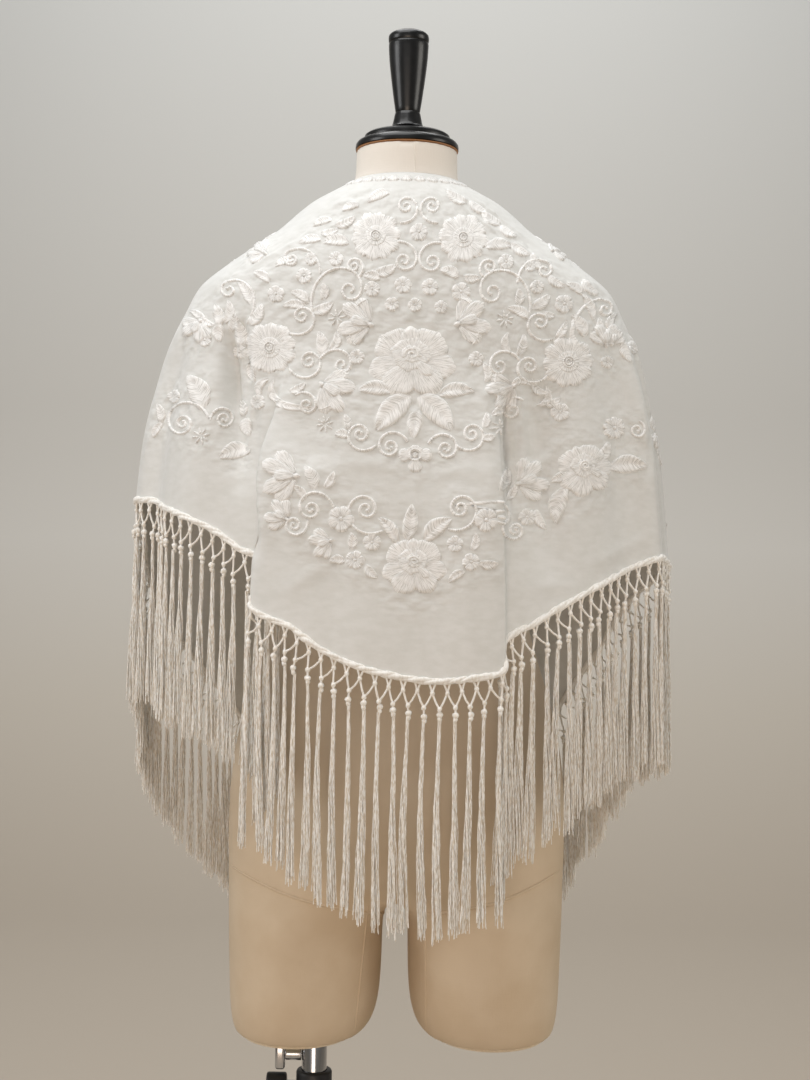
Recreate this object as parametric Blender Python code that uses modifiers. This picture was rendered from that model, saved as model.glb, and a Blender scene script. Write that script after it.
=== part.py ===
"""Manila shawl laid over the shoulders of a dress form on its stand.

Metres, +Z up, floor at z = 0. The back of the shawl faces -Y, +X is to the right seen from behind.
Angles go round the figure from the centre back (0) towards +X (90) and on to the centre front (180).
"""

import math
import random
from typing import NamedTuple

import bmesh
import bpy
from mathutils import Vector
from mathutils.bvhtree import BVHTree

# Cloth
WALL = 0.0018
TOP_EDGE_HEIGHT = 1.4550
CLOTH_ROWS = 15
ROW_CROWDING = 1.5
BACK_COLUMN_STEP = 5.0
PLEAT_COLUMN_STEP = 1.6
FRONT_COLUMNS = 15
PROFILE_SAMPLES = 60

# Knotted net and fringe
SEAM_GAP = 0.0009
SLOPE_REACH = 0.006
TURN_SHARE = 0.45
STRETCH_GAP = 0.0004
KNOT_PITCH = 0.0135
ROLLED_HEM_HEIGHT = 0.0050
CORD_HALF_WIDTH = 0.0017
NET_DROP = 0.0270
KNOT_CROWN = 0.0035
KNOT_HALF_WIDTH = 0.0027
KNOT_LENGTH = 0.0085
STRAND_TOP_HALF_WIDTH = 0.0017
STRAND_END_HALF_WIDTH = 0.0034
FRINGE_LENGTH = 0.196
FRINGE_BACK_EXTRA = 0.032
FRINGE_BACK_REACH = 0.30
FRINGE_UNEVENNESS = 0.005
CORD_THICKNESS = 0.0026

# Raised embroidery
MOTIF_GAP = 0.0008
MOTIF_THICKNESS = 0.0012
MOTIF_START_Y = -0.40

# Dress form
SHOULDER_DROP = 0.0036
SHOULDER_INSET = 0.0007
BACK_INSET = 0.0018
CHEST_INSET = 0.0060
CROTCH_HEIGHT = 0.747
TORSO_STEPS = 16
CROTCH_STEPS = 8
LEG_BACK_ANGLE = -50.0
LEG_FRONT_ANGLE = 230.0
NECK_TOP = 1.4870
END_PLATE_THICKNESS = 0.0040
END_PLATE_MARGIN = 0.0020
LEG_END_HEIGHT = 0.6125

# Stand
FIT = 0.0003
POLE_X = -0.0785
POLE_RADIUS = 0.0125
POLE_BOTTOM = 0.180
TUBE_RADIUS = 0.0145
TUBE_BORE = POLE_RADIUS + 0.0005
TUBE_TOP = 0.5450
COLLAR_TOP = 0.5700
COLLAR_BOTTOM = 0.5380
COLLAR_RADIUS = 0.0178
BASE_RADIUS = 0.205
BASE_THICKNESS = 0.014
FOOT_RADIUS = 0.034
FOOT_HEIGHT = 0.020
KNOB_Z = 0.5550
KNOB_RADIUS = 0.0110
KNOB_LENGTH = 0.0200
KNOB_ROUNDING = 0.0020
STEM_RADIUS = 0.0035
STEM_LENGTH = 0.0090
LEVER_WIDTH = 0.0100
LEVER_DEPTH = 0.0120
LEVER_HEIGHT = 0.0240
LEVER_Z = 0.5820
LEVER_ROUNDING = 0.0025
SCREW_RADIUS = 0.0065
SCREW_LENGTH = 0.0160
SCREW_Z = 0.5850
LEVER_X = POLE_X - POLE_RADIUS - 2 * FIT - SCREW_LENGTH - 0.5 * LEVER_WIDTH


class Ring(NamedTuple):
    """A level section: its height, half width to each side, and depth behind and in front."""

    height: float
    half_width: float
    back: float
    front: float


class Hem(NamedTuple):
    """Height of the hem at one angle round the figure."""

    angle: float
    height: float


class Opening(NamedTuple):
    """Half of the gap between the two straight front edges at one height."""

    height: float
    half_gap: float


class Fold(NamedTuple):
    """A soft upright fold: outward if depth is positive, a trough if it is negative."""

    angle: float
    half_spread: float
    depth: float
    start: float
    full: float


class Pleat(NamedTuple):
    """A sharp fold where the centre panel lies over the one beside it, tucked under by overlap."""

    angle: float
    half_spread: float
    set_back: float
    overlap: float
    start: float
    full: float
    raised_side: int
    reach: float


class Leg(NamedTuple):
    """A level section of a thigh end: height, centre, half width, depth behind and in front."""

    height: float
    centre: float
    half_width: float
    back: float
    front: float


class Motif(NamedTuple):
    """A thick embroidered flower: where its middle lies, its size, petals and how deep they are cut."""

    name: str
    x: float
    height: float
    radius: float
    petals: int
    notch: float
    turn: float


CLOTH_RINGS = (
    Ring(1.455, 0.0545, 0.0565, 0.0545),
    Ring(1.446, 0.0710, 0.0640, 0.0610),
    Ring(1.432, 0.0960, 0.0740, 0.0700),
    Ring(1.403, 0.1300, 0.0890, 0.0840),
    Ring(1.384, 0.1575, 0.0960, 0.0930),
    Ring(1.365, 0.1845, 0.1020, 0.1010),
    Ring(1.348, 0.2040, 0.1065, 0.1085),
    Ring(1.321, 0.2180, 0.1120, 0.1190),
    Ring(1.283, 0.2330, 0.1170, 0.1310),
    Ring(1.204, 0.2530, 0.1260, 0.1460),
    Ring(1.128, 0.2615, 0.1350, 0.1500),
    Ring(1.050, 0.2680, 0.1430, 0.1500),
    Ring(0.970, 0.2700, 0.1500, 0.1490),
    Ring(0.800, 0.2700, 0.1560, 0.1500),
)

HEM = (
    Hem(-163, 0.812),
    Hem(-150, 0.862),
    Hem(-136, 0.926),
    Hem(-125, 0.971),
    Hem(-118, 1.006),
    Hem(-105, 1.076),
    Hem(-90, 1.126),
    Hem(-75, 1.132),
    Hem(-58, 1.123),
    Hem(-48, 1.113),
    Hem(-40, 1.100),
    Hem(-34, 1.084),
    Hem(-29, 1.062),
    Hem(-25, 1.038),
    Hem(-19, 1.012),
    Hem(-15, 0.999),
    Hem(-10, 0.987),
    Hem(-5, 0.979),
    Hem(0, 0.974),
    Hem(6, 0.970),
    Hem(12, 0.972),
    Hem(17, 0.978),
    Hem(20, 0.988),
    Hem(23, 1.003),
    Hem(26, 1.016),
    Hem(33, 1.036),
    Hem(43, 1.055),
    Hem(57, 1.074),
    Hem(70, 1.084),
    Hem(90, 1.080),
    Hem(105, 1.062),
    Hem(117, 1.030),
    Hem(128, 0.988),
    Hem(136, 0.950),
    Hem(142, 0.905),
    Hem(150, 0.860),
    Hem(163, 0.800),
)

FRONT_OPENING = (
    Opening(1.455, 0.0535),
    Opening(1.446, 0.0570),
    Opening(1.432, 0.0600),
    Opening(1.403, 0.0630),
    Opening(1.348, 0.0690),
    Opening(1.283, 0.0760),
    Opening(1.204, 0.0810),
    Opening(1.000, 0.0760),
    Opening(0.800, 0.0700),
)

FOLDS = (
    Fold(-112, 15, 0.011, 1.33, 1.10),
    Fold(-131, 12, -0.010, 1.30, 1.05),
    Fold(-147, 11, 0.012, 1.30, 1.05),
    Fold(-69, 10, -0.008, 1.33, 1.22),
    Fold(-84, 9, 0.004, 1.33, 1.20),
    Fold(-50, 12, 0.005, 1.30, 1.15),
    Fold(-8, 14, 0.004, 1.15, 1.00),
    Fold(36, 10, 0.004, 1.25, 1.10),
    Fold(54, 10, -0.005, 1.33, 1.20),
    Fold(68, 8, 0.006, 1.34, 1.24),
    Fold(82, 9, -0.006, 1.32, 1.20),
    Fold(100, 11, 0.010, 1.33, 1.12),
    Fold(118, 12, -0.010, 1.30, 1.08),
    Fold(134, 12, 0.012, 1.30, 1.05),
    Fold(150, 10, -0.009, 1.28, 1.00),
)

PLEATS = (
    Pleat(-27.5, 7.0, 0.023, 0.022, 1.300, 1.150, 1, 40),
    Pleat(20.5, 7.0, 0.017, 0.012, 1.285, 1.130, -1, 34),
)

FRINGE_STRETCHES = (
    ("fringe_left_front", -163, -96),
    ("fringe_left_back", -96, -28),
    ("fringe_centre_back", -28, 20.5),
    ("fringe_right_back", 20.5, 92),
    ("fringe_right_front", 92, 163),
)

FORM_NECK = (
    Ring(NECK_TOP, 0.0505, 0.0515, 0.0505),
    Ring(1.4700, 0.0508, 0.0520, 0.0505),
    Ring(1.4515, 0.0514, 0.0532, 0.0508),
)
SHOULDER_HEIGHTS = (1.4440, 1.4340, 1.4200, 1.4000, 1.3810, 1.3620)
FORM_BODY = (
    Ring(1.346, 0.1975, 0.1030, 0.1030),
    Ring(1.322, 0.1970, 0.1045, 0.1120),
    Ring(1.290, 0.1830, 0.1030, 0.1220),
    Ring(1.250, 0.1690, 0.1010, 0.1290),
    Ring(1.205, 0.1600, 0.0960, 0.1290),
    Ring(1.150, 0.1420, 0.0860, 0.1110),
    Ring(1.095, 0.1270, 0.0770, 0.0940),
    Ring(1.045, 0.1220, 0.0750, 0.0870),
    Ring(0.995, 0.1340, 0.0830, 0.0890),
    Ring(0.940, 0.1530, 0.0990, 0.0930),
    Ring(0.885, 0.1650, 0.1130, 0.0940),
    Ring(0.835, 0.1685, 0.1150, 0.0910),
    Ring(0.790, 0.1680, 0.1080, 0.0870),
    Ring(0.768, 0.1675, 0.1030, 0.0850),
)
LEGS = (
    Leg(0.735, 0.0895, 0.0775, 0.0970, 0.0810),
    Leg(0.702, 0.0893, 0.0765, 0.0910, 0.0770),
    Leg(0.672, 0.0892, 0.0745, 0.0860, 0.0735),
    Leg(0.648, 0.0900, 0.0712, 0.0810, 0.0695),
    Leg(0.630, 0.0922, 0.0668, 0.0755, 0.0650),
    Leg(0.6185, 0.0948, 0.0620, 0.0700, 0.0600),
    Leg(LEG_END_HEIGHT, 0.0965, 0.0565, 0.0640, 0.0550),
)

MOTIFS = (
    Motif("rose_centre", 0.010, 1.263, 0.042, 5, 0.10, 18),
    Motif("rose_low", 0.008, 1.082, 0.030, 5, 0.10, 54),
    Motif("rose_side", 0.167, 1.163, 0.025, 5, 0.12, 10),
    Motif("open_flower_upper_left", -0.028, 1.388, 0.025, 10, 0.12, 0),
    Motif("open_flower_upper_right", 0.053, 1.386, 0.025, 10, 0.12, 0),
    Motif("open_flower_left", -0.128, 1.279, 0.025, 10, 0.12, 0),
    Motif("open_flower_right", 0.152, 1.267, 0.025, 10, 0.12, 0),
)
POINTS_PER_PETAL = {5: 4, 10: 2}

CAP_PROFILE = (
    (0.0000, 1.5120),
    (0.0170, 1.5105),
    (0.0260, 1.5070),
    (0.0400, 1.5045),
    (0.0430, 1.5010),
    (0.0430, 1.4985),
    (0.0490, 1.4965),
    (0.0515, 1.4935),
    (0.0515, 1.4895),
    (0.0500, NECK_TOP + FIT),
    (0.0000, NECK_TOP + FIT),
)
FINIAL_PROFILE = (
    (0.0000, 1.6085),
    (0.0120, 1.6080),
    (0.0180, 1.6055),
    (0.0202, 1.6015),
    (0.0200, 1.5970),
    (0.0188, 1.5950),
    (0.0200, 1.5925),
    (0.0204, 1.5850),
    (0.0192, 1.5750),
    (0.0160, 1.5500),
    (0.0128, 1.5300),
    (0.0120, 1.5245),
    (0.0150, 1.5225),
    (0.0158, 1.5160),
    (0.0158, 1.5123),
    (0.0000, 1.5123),
)


def smooth(share):
    """Eased 0 to 1."""
    share = min(max(share, 0.0), 1.0)
    return share * share * (3.0 - 2.0 * share)


def read_table(rows, column, place):
    """Value of a column at a place (the rows' first column), on a smooth curve through the rows."""
    rows = sorted(rows)
    places = [row[0] for row in rows]
    values = [getattr(row, column) for row in rows]
    if place <= places[0]:
        return values[0]
    if place >= places[-1]:
        return values[-1]
    after = next(i for i, at in enumerate(places) if at > place)
    before = after - 1

    def slope(i):
        low, high = max(i - 1, 0), min(i + 1, len(rows) - 1)
        return (values[high] - values[low]) / (places[high] - places[low])

    span = places[after] - places[before]
    t = (place - places[before]) / span
    return (
        values[before] * (1 + 2 * t) * (1 - t) ** 2
        + slope(before) * span * t * (1 - t) ** 2
        + values[after] * t * t * (3 - 2 * t)
        + slope(after) * span * t * t * (t - 1)
    )


def ring_at(rows, height):
    """The smooth section between the rows' own sections."""
    return Ring(height, *(read_table(rows, name, height) for name in ("half_width", "back", "front")))


def point_on_ring(ring, angle):
    """Point, outward direction and direction along the section, at an angle round it."""
    sine, cosine = math.sin(math.radians(angle)), math.cos(math.radians(angle))
    depth = ring.back if cosine >= 0 else ring.front
    point = Vector((ring.half_width * sine, -depth * cosine, ring.height))
    outward = Vector((sine / ring.half_width, -cosine / depth, 0)).normalized()
    return point, outward, Vector((-outward.y, outward.x, 0))


def fold_offsets(angle, height):
    """How far the folds move the cloth outward and sideways at one place."""
    outward, sideways = 0.0, 0.0
    for fold in FOLDS:
        q = (angle - fold.angle) / fold.half_spread
        if abs(q) < 1:
            grown = smooth((fold.start - height) / (fold.start - fold.full))
            outward += fold.depth * grown * 0.5 * (1 + math.cos(math.pi * q))
    for pleat in PLEATS:
        grown = smooth((pleat.start - height) / (pleat.start - pleat.full))
        q = min(max((angle - pleat.angle) / pleat.half_spread, -1.0), 1.0)
        inside = (angle - pleat.angle) * pleat.raised_side
        raised = smooth(0.5 + 0.5 * q * pleat.raised_side) * (1 - smooth(inside / pleat.reach))
        outward += pleat.set_back * grown * raised
        sideways -= pleat.overlap * grown * math.sin(math.pi * q)
    return outward, sideways


def cloth_point(angle, height):
    """Point on the outer side of the cloth."""
    point, outward, along = point_on_ring(ring_at(CLOTH_RINGS, height), angle)
    out, sideways = fold_offsets(angle, height)
    return point + outward * out + along * sideways


def front_edge_angle(height):
    """Angle of the straight front edge at one height."""
    half_gap = read_table(FRONT_OPENING, "half_gap", height)
    half_width = read_table(CLOTH_RINGS, "half_width", height)
    return 180 - math.degrees(math.asin(min(half_gap / half_width, 0.985)))


def column_places():
    """Places of the cloth's columns: -90 to 90 is the back by angle, past that each front, to 180."""
    places = [-90.0]
    while places[-1] < 90 - 0.5 * BACK_COLUMN_STEP:
        near_pleat = any(abs(places[-1] - pleat.angle) < pleat.half_spread for pleat in PLEATS)
        places.append(places[-1] + (PLEAT_COLUMN_STEP if near_pleat else BACK_COLUMN_STEP))
    places[-1] = 90.0
    front = [90 + 90 * (i + 1) / FRONT_COLUMNS for i in range(FRONT_COLUMNS)]
    return [-place for place in reversed(front)] + places + front


def place_angle(place, height):
    """Angle round the figure of a column at one height."""
    if abs(place) <= 90:
        return place
    share = (abs(place) - 90) / 90
    return math.copysign(90 + share * (front_edge_angle(height) - 90), place)


def hem_height(place):
    """Height of the hem at a column."""
    if abs(place) <= 90:
        return read_table(HEM, "height", place)
    tip = HEM[0].angle if place < 0 else HEM[-1].angle
    share = (abs(place) - 90) / 90
    return read_table(HEM, "height", math.copysign(90 + share * (abs(tip) - 90), place))


def column_points(place):
    """Points of one column from the top edge to the hem, closer together over the shoulder."""
    low = hem_height(place)
    heights = [
        TOP_EDGE_HEIGHT + (low - TOP_EDGE_HEIGHT) * i / PROFILE_SAMPLES
        for i in range(PROFILE_SAMPLES + 1)
    ]
    path = [cloth_point(place_angle(place, height), height) for height in heights]
    lengths = [0.0]
    for a, b in zip(path, path[1:]):
        lengths.append(lengths[-1] + (b - a).length)
    points = []
    for row in range(CLOTH_ROWS):
        wanted = lengths[-1] * (row / (CLOTH_ROWS - 1)) ** ROW_CROWDING
        i = max(j for j in range(PROFILE_SAMPLES) if lengths[j] <= wanted + 1e-9)
        share = (wanted - lengths[i]) / (lengths[i + 1] - lengths[i])
        height = heights[i] + (heights[i + 1] - heights[i]) * share
        points.append(cloth_point(place_angle(place, height), height))
    return points


def clear_scene():
    """Remove everything that the file opened with."""
    for thing in list(bpy.data.objects):
        bpy.data.objects.remove(thing, do_unlink=True)


def new_collection(name):
    """A collection linked to the scene."""
    collection = bpy.data.collections.new(name)
    bpy.context.scene.collection.children.link(collection)
    return collection


def new_material(name, colour, roughness, metallic=0.0):
    """A Principled material."""
    material = bpy.data.materials.new(name)
    material.use_nodes = True
    shader = material.node_tree.nodes["Principled BSDF"]
    shader.inputs["Base Color"].default_value = (*colour, 1.0)
    shader.inputs["Roughness"].default_value = roughness
    shader.inputs["Metallic"].default_value = metallic
    return material


def add_object(name, mesh, collection, material):
    """An object for a mesh, with its own material."""
    thing = bpy.data.objects.new(name, mesh)
    collection.objects.link(thing)
    mesh.materials.append(material)
    return thing


def finish_mesh(shape, name, smooth_angle=40.0):
    """A mesh from a bmesh, with round parts shaded smooth."""
    mesh = bpy.data.meshes.new(name)
    shape.normal_update()
    shape.to_mesh(mesh)
    shape.free()
    mesh.shade_smooth()
    mesh.set_sharp_from_angle(angle=math.radians(smooth_angle))
    return mesh


def thicken(thing, thickness, offset):
    """Give an open surface its wall."""
    wall = thing.modifiers.new("wall", "SOLIDIFY")
    wall.thickness = thickness
    wall.offset = offset
    wall.use_quality_normals = True


def turned(name, profile, collection, material, steps=32, centre=(0.0, 0.0), closed=False):
    """A turned piece: its profile runs down the outer side and is screwed round a vertical axis."""
    mesh = bpy.data.meshes.new(name)
    edges = [(i, i + 1) for i in range(len(profile) - 1)]
    if closed:
        edges.append((len(profile) - 1, 0))
    mesh.from_pydata([(radius, 0.0, height) for radius, height in profile], edges, [])
    thing = add_object(name, mesh, collection, material)
    thing.location = (centre[0], centre[1], 0.0)
    screw = thing.modifiers.new("turn", "SCREW")
    screw.steps = steps
    screw.render_steps = steps
    screw.use_merge_vertices = True
    screw.merge_threshold = 0.00001
    screw.use_smooth_shade = True
    return thing


def make_cloth(collection, material):
    """The shawl's one panel of silk, a wall on a grid of columns and rows."""
    places = column_places()
    columns = [column_points(place) for place in places]
    shape = bmesh.new()
    bmesh.ops.create_grid(shape, x_segments=len(places) - 1, y_segments=CLOTH_ROWS - 1, size=1.0)
    for vert in shape.verts:
        column = round((vert.co.x + 1) / 2 * (len(places) - 1))
        row = round((1 - vert.co.y) / 2 * (CLOTH_ROWS - 1))
        vert.co = columns[column][row]
    thing = add_object("shawl_cloth", finish_mesh(shape, "shawl_cloth"), collection, material)
    thicken(thing, WALL, -1.0)
    return thing, places, [points[-1] for points in columns]


class HemPath:
    """The cloth's lower edge as a path measured from its left tip."""

    def __init__(self, places, points):
        self.places = places
        self.points = points
        self.lengths = [0.0]
        for a, b in zip(points, points[1:]):
            self.lengths.append(self.lengths[-1] + (b - a).length)

    def length_at_angle(self, angle):
        """Length along the hem at a column place given by its angle at the hem."""
        place = angle
        if abs(angle) > 90:
            tip = abs(HEM[0].angle if angle < 0 else HEM[-1].angle)
            place = math.copysign(90 + 90 * (abs(angle) - 90) / (tip - 90), angle)
        for i in range(len(self.places) - 1):
            if self.places[i] <= place <= self.places[i + 1]:
                share = (place - self.places[i]) / (self.places[i + 1] - self.places[i])
                return self.lengths[i] + share * (self.lengths[i + 1] - self.lengths[i])
        return self.lengths[-1]

    def point(self, length):
        """Point on the hem at a length along it."""
        for i in range(len(self.points) - 1):
            if length <= self.lengths[i + 1] or i == len(self.points) - 2:
                share = (length - self.lengths[i]) / (self.lengths[i + 1] - self.lengths[i])
                return self.points[i].lerp(self.points[i + 1], share)
        return self.points[-1]

    def strand_length(self, length):
        """Fringe length from the hem down, longest at the centre back."""
        away = abs(length - self.length_at_angle(0)) / FRINGE_BACK_REACH
        return FRINGE_LENGTH + FRINGE_BACK_EXTRA * (1 - smooth(away))

    def seam_gap(self, length):
        """Upright gap that keeps the clearance under the hem where it slopes or turns sharply."""
        gaps = []
        for near in (length - SLOPE_REACH, length, length + SLOPE_REACH):
            rise = self.point(near + SLOPE_REACH) - self.point(near - SLOPE_REACH)
            turned_by = max(2 * SLOPE_REACH - rise.length, 0.0)
            slope_factor = rise.length / max(rise.xy.length, 0.25 * rise.length)
            gaps.append(SEAM_GAP * slope_factor + TURN_SHARE * turned_by)
        return max(gaps)


def make_fringe(name, path, start, end, collection, material):
    """One stretch of rolled hem, knotted net and strands, cut through between its cords."""
    count = max(2, round((end - start) / KNOT_PITCH))
    pitch = (end - start) / count
    uneven = random.Random(name)
    shape = bmesh.new()

    def vertex(along, drop):
        point = path.point(start + along)
        return shape.verts.new(point - Vector((0, 0, path.seam_gap(start + along) + drop)))

    root = []
    for j in range(count + 1):
        left = vertex(j * pitch - CORD_HALF_WIDTH, 0) if j > 0 else None
        left_low = vertex(j * pitch - CORD_HALF_WIDTH, ROLLED_HEM_HEIGHT) if j > 0 else None
        right = vertex(j * pitch + CORD_HALF_WIDTH, 0) if j < count else None
        right_low = vertex(j * pitch + CORD_HALF_WIDTH, ROLLED_HEM_HEIGHT) if j < count else None
        middle_low = vertex(j * pitch, ROLLED_HEM_HEIGHT)
        middle = vertex(j * pitch, 0) if j in (0, count) else None
        root.append((left, left_low, middle, middle_low, right_low, right))
        outline = [left, left_low, middle_low, right_low, right, middle]
        shape.faces.new([v for v in outline if v is not None])
    for i in range(count):
        knot_x = (i + 0.5) * pitch
        right_low, right = root[i][4], root[i][5]
        left, left_low = root[i + 1][0], root[i + 1][1]
        shape.faces.new([right, right_low, left_low, left])
        crown = vertex(knot_x, NET_DROP - KNOT_CROWN)
        knot_left = vertex(knot_x - KNOT_HALF_WIDTH, NET_DROP)
        knot_right = vertex(knot_x + KNOT_HALF_WIDTH, NET_DROP)
        strand_left = vertex(knot_x - STRAND_TOP_HALF_WIDTH, NET_DROP + KNOT_LENGTH)
        strand_right = vertex(knot_x + STRAND_TOP_HALF_WIDTH, NET_DROP + KNOT_LENGTH)
        end_drop = path.strand_length(start + knot_x)
        end_drop += uneven.uniform(-FRINGE_UNEVENNESS, FRINGE_UNEVENNESS)
        end_left = vertex(knot_x - STRAND_END_HALF_WIDTH, end_drop)
        end_right = vertex(knot_x + STRAND_END_HALF_WIDTH, end_drop)
        shape.faces.new([right_low, root[i][3], knot_left, crown])
        shape.faces.new([root[i + 1][3], left_low, crown, knot_right])
        shape.faces.new([crown, knot_left, knot_right])
        shape.faces.new([knot_left, strand_left, strand_right, knot_right])
        shape.faces.new([strand_left, end_left, end_right, strand_right])
    thing = add_object(name, finish_mesh(shape, name), collection, material)
    thicken(thing, CORD_THICKNESS, 0.0)
    return thing


def make_motif(motif, cloth_tree, collection, material):
    """A thick satin-stitched flower: a scalloped disc laid on the cloth's outer side."""
    points = motif.petals * POINTS_PER_PETAL[motif.petals]
    shape = bmesh.new()
    bmesh.ops.create_circle(shape, cap_ends=True, cap_tris=True, segments=points, radius=1.0)
    bmesh.ops.subdivide_edges(
        shape,
        edges=[edge for edge in shape.edges if not edge.is_boundary],
        cuts=1,
    )
    for vert in shape.verts:
        reach = vert.co.xy.length
        turn = math.atan2(vert.co.y, vert.co.x) - math.radians(motif.turn)
        scallop = 1 - motif.notch * (1 - math.cos(motif.petals * turn)) * reach
        flat = vert.co.xy * motif.radius * scallop
        start = Vector((motif.x + flat.x, MOTIF_START_Y, motif.height + flat.y))
        hit, normal, _, _ = cloth_tree.ray_cast(start, Vector((0, 1, 0)))
        vert.co = hit + normal * MOTIF_GAP
    bmesh.ops.recalc_face_normals(shape, faces=shape.faces)
    if sum(face.normal.y for face in shape.faces) > 0:
        bmesh.ops.reverse_faces(shape, faces=shape.faces)
    thing = add_object(motif.name, finish_mesh(shape, motif.name), collection, material)
    thicken(thing, MOTIF_THICKNESS, 1.0)
    return thing


def make_body(collection, material):
    """Right half of the dress form's body, from the neck to its thigh end, mirrored to the left."""
    shoulders = []
    for height in SHOULDER_HEIGHTS:
        ring = ring_at(CLOTH_RINGS, height + SHOULDER_DROP)
        half_width, back = ring.half_width - SHOULDER_INSET, ring.back - BACK_INSET
        shoulders.append(Ring(height, half_width, back, ring.front - CHEST_INSET))
    rings = [*FORM_NECK, *shoulders, *FORM_BODY]
    shape = bmesh.new()
    halves = []
    for ring in rings:
        half = []
        for step in range(TORSO_STEPS + 1):
            point, _, _ = point_on_ring(ring, 180 * step / TORSO_STEPS)
            if step in (0, TORSO_STEPS):
                point.x = 0.0
            half.append(shape.verts.new(point))
        halves.append(half)
    for upper, lower in zip(halves, halves[1:]):
        for a, b, c, d in zip(upper, upper[1:], lower[1:], lower):
            shape.faces.new([a, d, c, b])
    shape.faces.new(halves[0])

    back, front = halves[-1][0].co, halves[-1][-1].co
    crotch = []
    for step in range(1, CROTCH_STEPS):
        share = step / CROTCH_STEPS
        point = front.lerp(back, share)
        point.z -= (point.z - CROTCH_HEIGHT) * math.sin(math.pi * share)
        crotch.append(shape.verts.new(point))

    loop = halves[-1] + crotch
    outer_span = LEG_FRONT_ANGLE - LEG_BACK_ANGLE
    inner_span = 360 - outer_span
    angles = [LEG_BACK_ANGLE + outer_span * i / TORSO_STEPS for i in range(TORSO_STEPS + 1)]
    angles += [LEG_FRONT_ANGLE + inner_span * i / CROTCH_STEPS for i in range(1, CROTCH_STEPS)]
    for leg in LEGS:
        ring = Ring(leg.height, leg.half_width, leg.back, leg.front)
        lower = []
        for angle in angles:
            point, _, _ = point_on_ring(ring, angle)
            lower.append(shape.verts.new(point + Vector((leg.centre, 0, 0))))
        for i in range(len(loop)):
            j = (i + 1) % len(loop)
            shape.faces.new([loop[i], lower[i], lower[j], loop[j]])
        loop = lower
    shape.faces.new(list(reversed(loop)))
    thing = add_object("form_body", finish_mesh(shape, "form_body", 50.0), collection, material)
    mirror = thing.modifiers.new("left half", "MIRROR")
    mirror.merge_threshold = 0.0001
    return thing


def make_end_plate(name, side, collection, material):
    """The oval plate that closes a thigh end."""
    leg = LEGS[-1]
    mesh = bpy.data.meshes.new(name)
    shape = bmesh.new()
    bmesh.ops.create_cone(
        shape,
        cap_ends=True,
        segments=22,
        radius1=1.0,
        radius2=1.0,
        depth=END_PLATE_THICKNESS,
    )
    for vert in shape.verts:
        vert.co.x *= leg.half_width - END_PLATE_MARGIN
        vert.co.y *= 0.5 * (leg.back + leg.front) - END_PLATE_MARGIN
    shape.to_mesh(mesh)
    shape.free()
    thing = add_object(name, mesh, collection, material)
    drop = LEG_END_HEIGHT - FIT - 0.5 * END_PLATE_THICKNESS
    thing.location = (side * leg.centre, 0.5 * (leg.front - leg.back), drop)
    return thing


def make_bar(name, radius, length, centre, direction, collection, material, segments=20):
    """A round bar along Z or X, centred at a point."""
    shape = bmesh.new()
    bmesh.ops.create_cone(
        shape,
        cap_ends=True,
        segments=segments,
        radius1=radius,
        radius2=radius,
        depth=length,
    )
    thing = add_object(name, finish_mesh(shape, name), collection, material)
    thing.location = centre
    if direction == "X":
        thing.rotation_euler = (0.0, math.radians(90), 0.0)
    return thing


def make_lever(collection, material):
    """The flat lever plate that tightens the clamp screw, with rounded corners."""
    shape = bmesh.new()
    bmesh.ops.create_cube(shape, size=1.0)
    bmesh.ops.scale(shape, vec=(LEVER_WIDTH, LEVER_DEPTH, LEVER_HEIGHT), verts=shape.verts)
    thing = add_object("clamp_lever", finish_mesh(shape, "clamp_lever", 30.0), collection, material)
    thing.location = (LEVER_X, 0.0, LEVER_Z)
    rounded = thing.modifiers.new("rounded edges", "BEVEL")
    rounded.width = LEVER_ROUNDING
    rounded.segments = 2
    return thing


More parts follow.
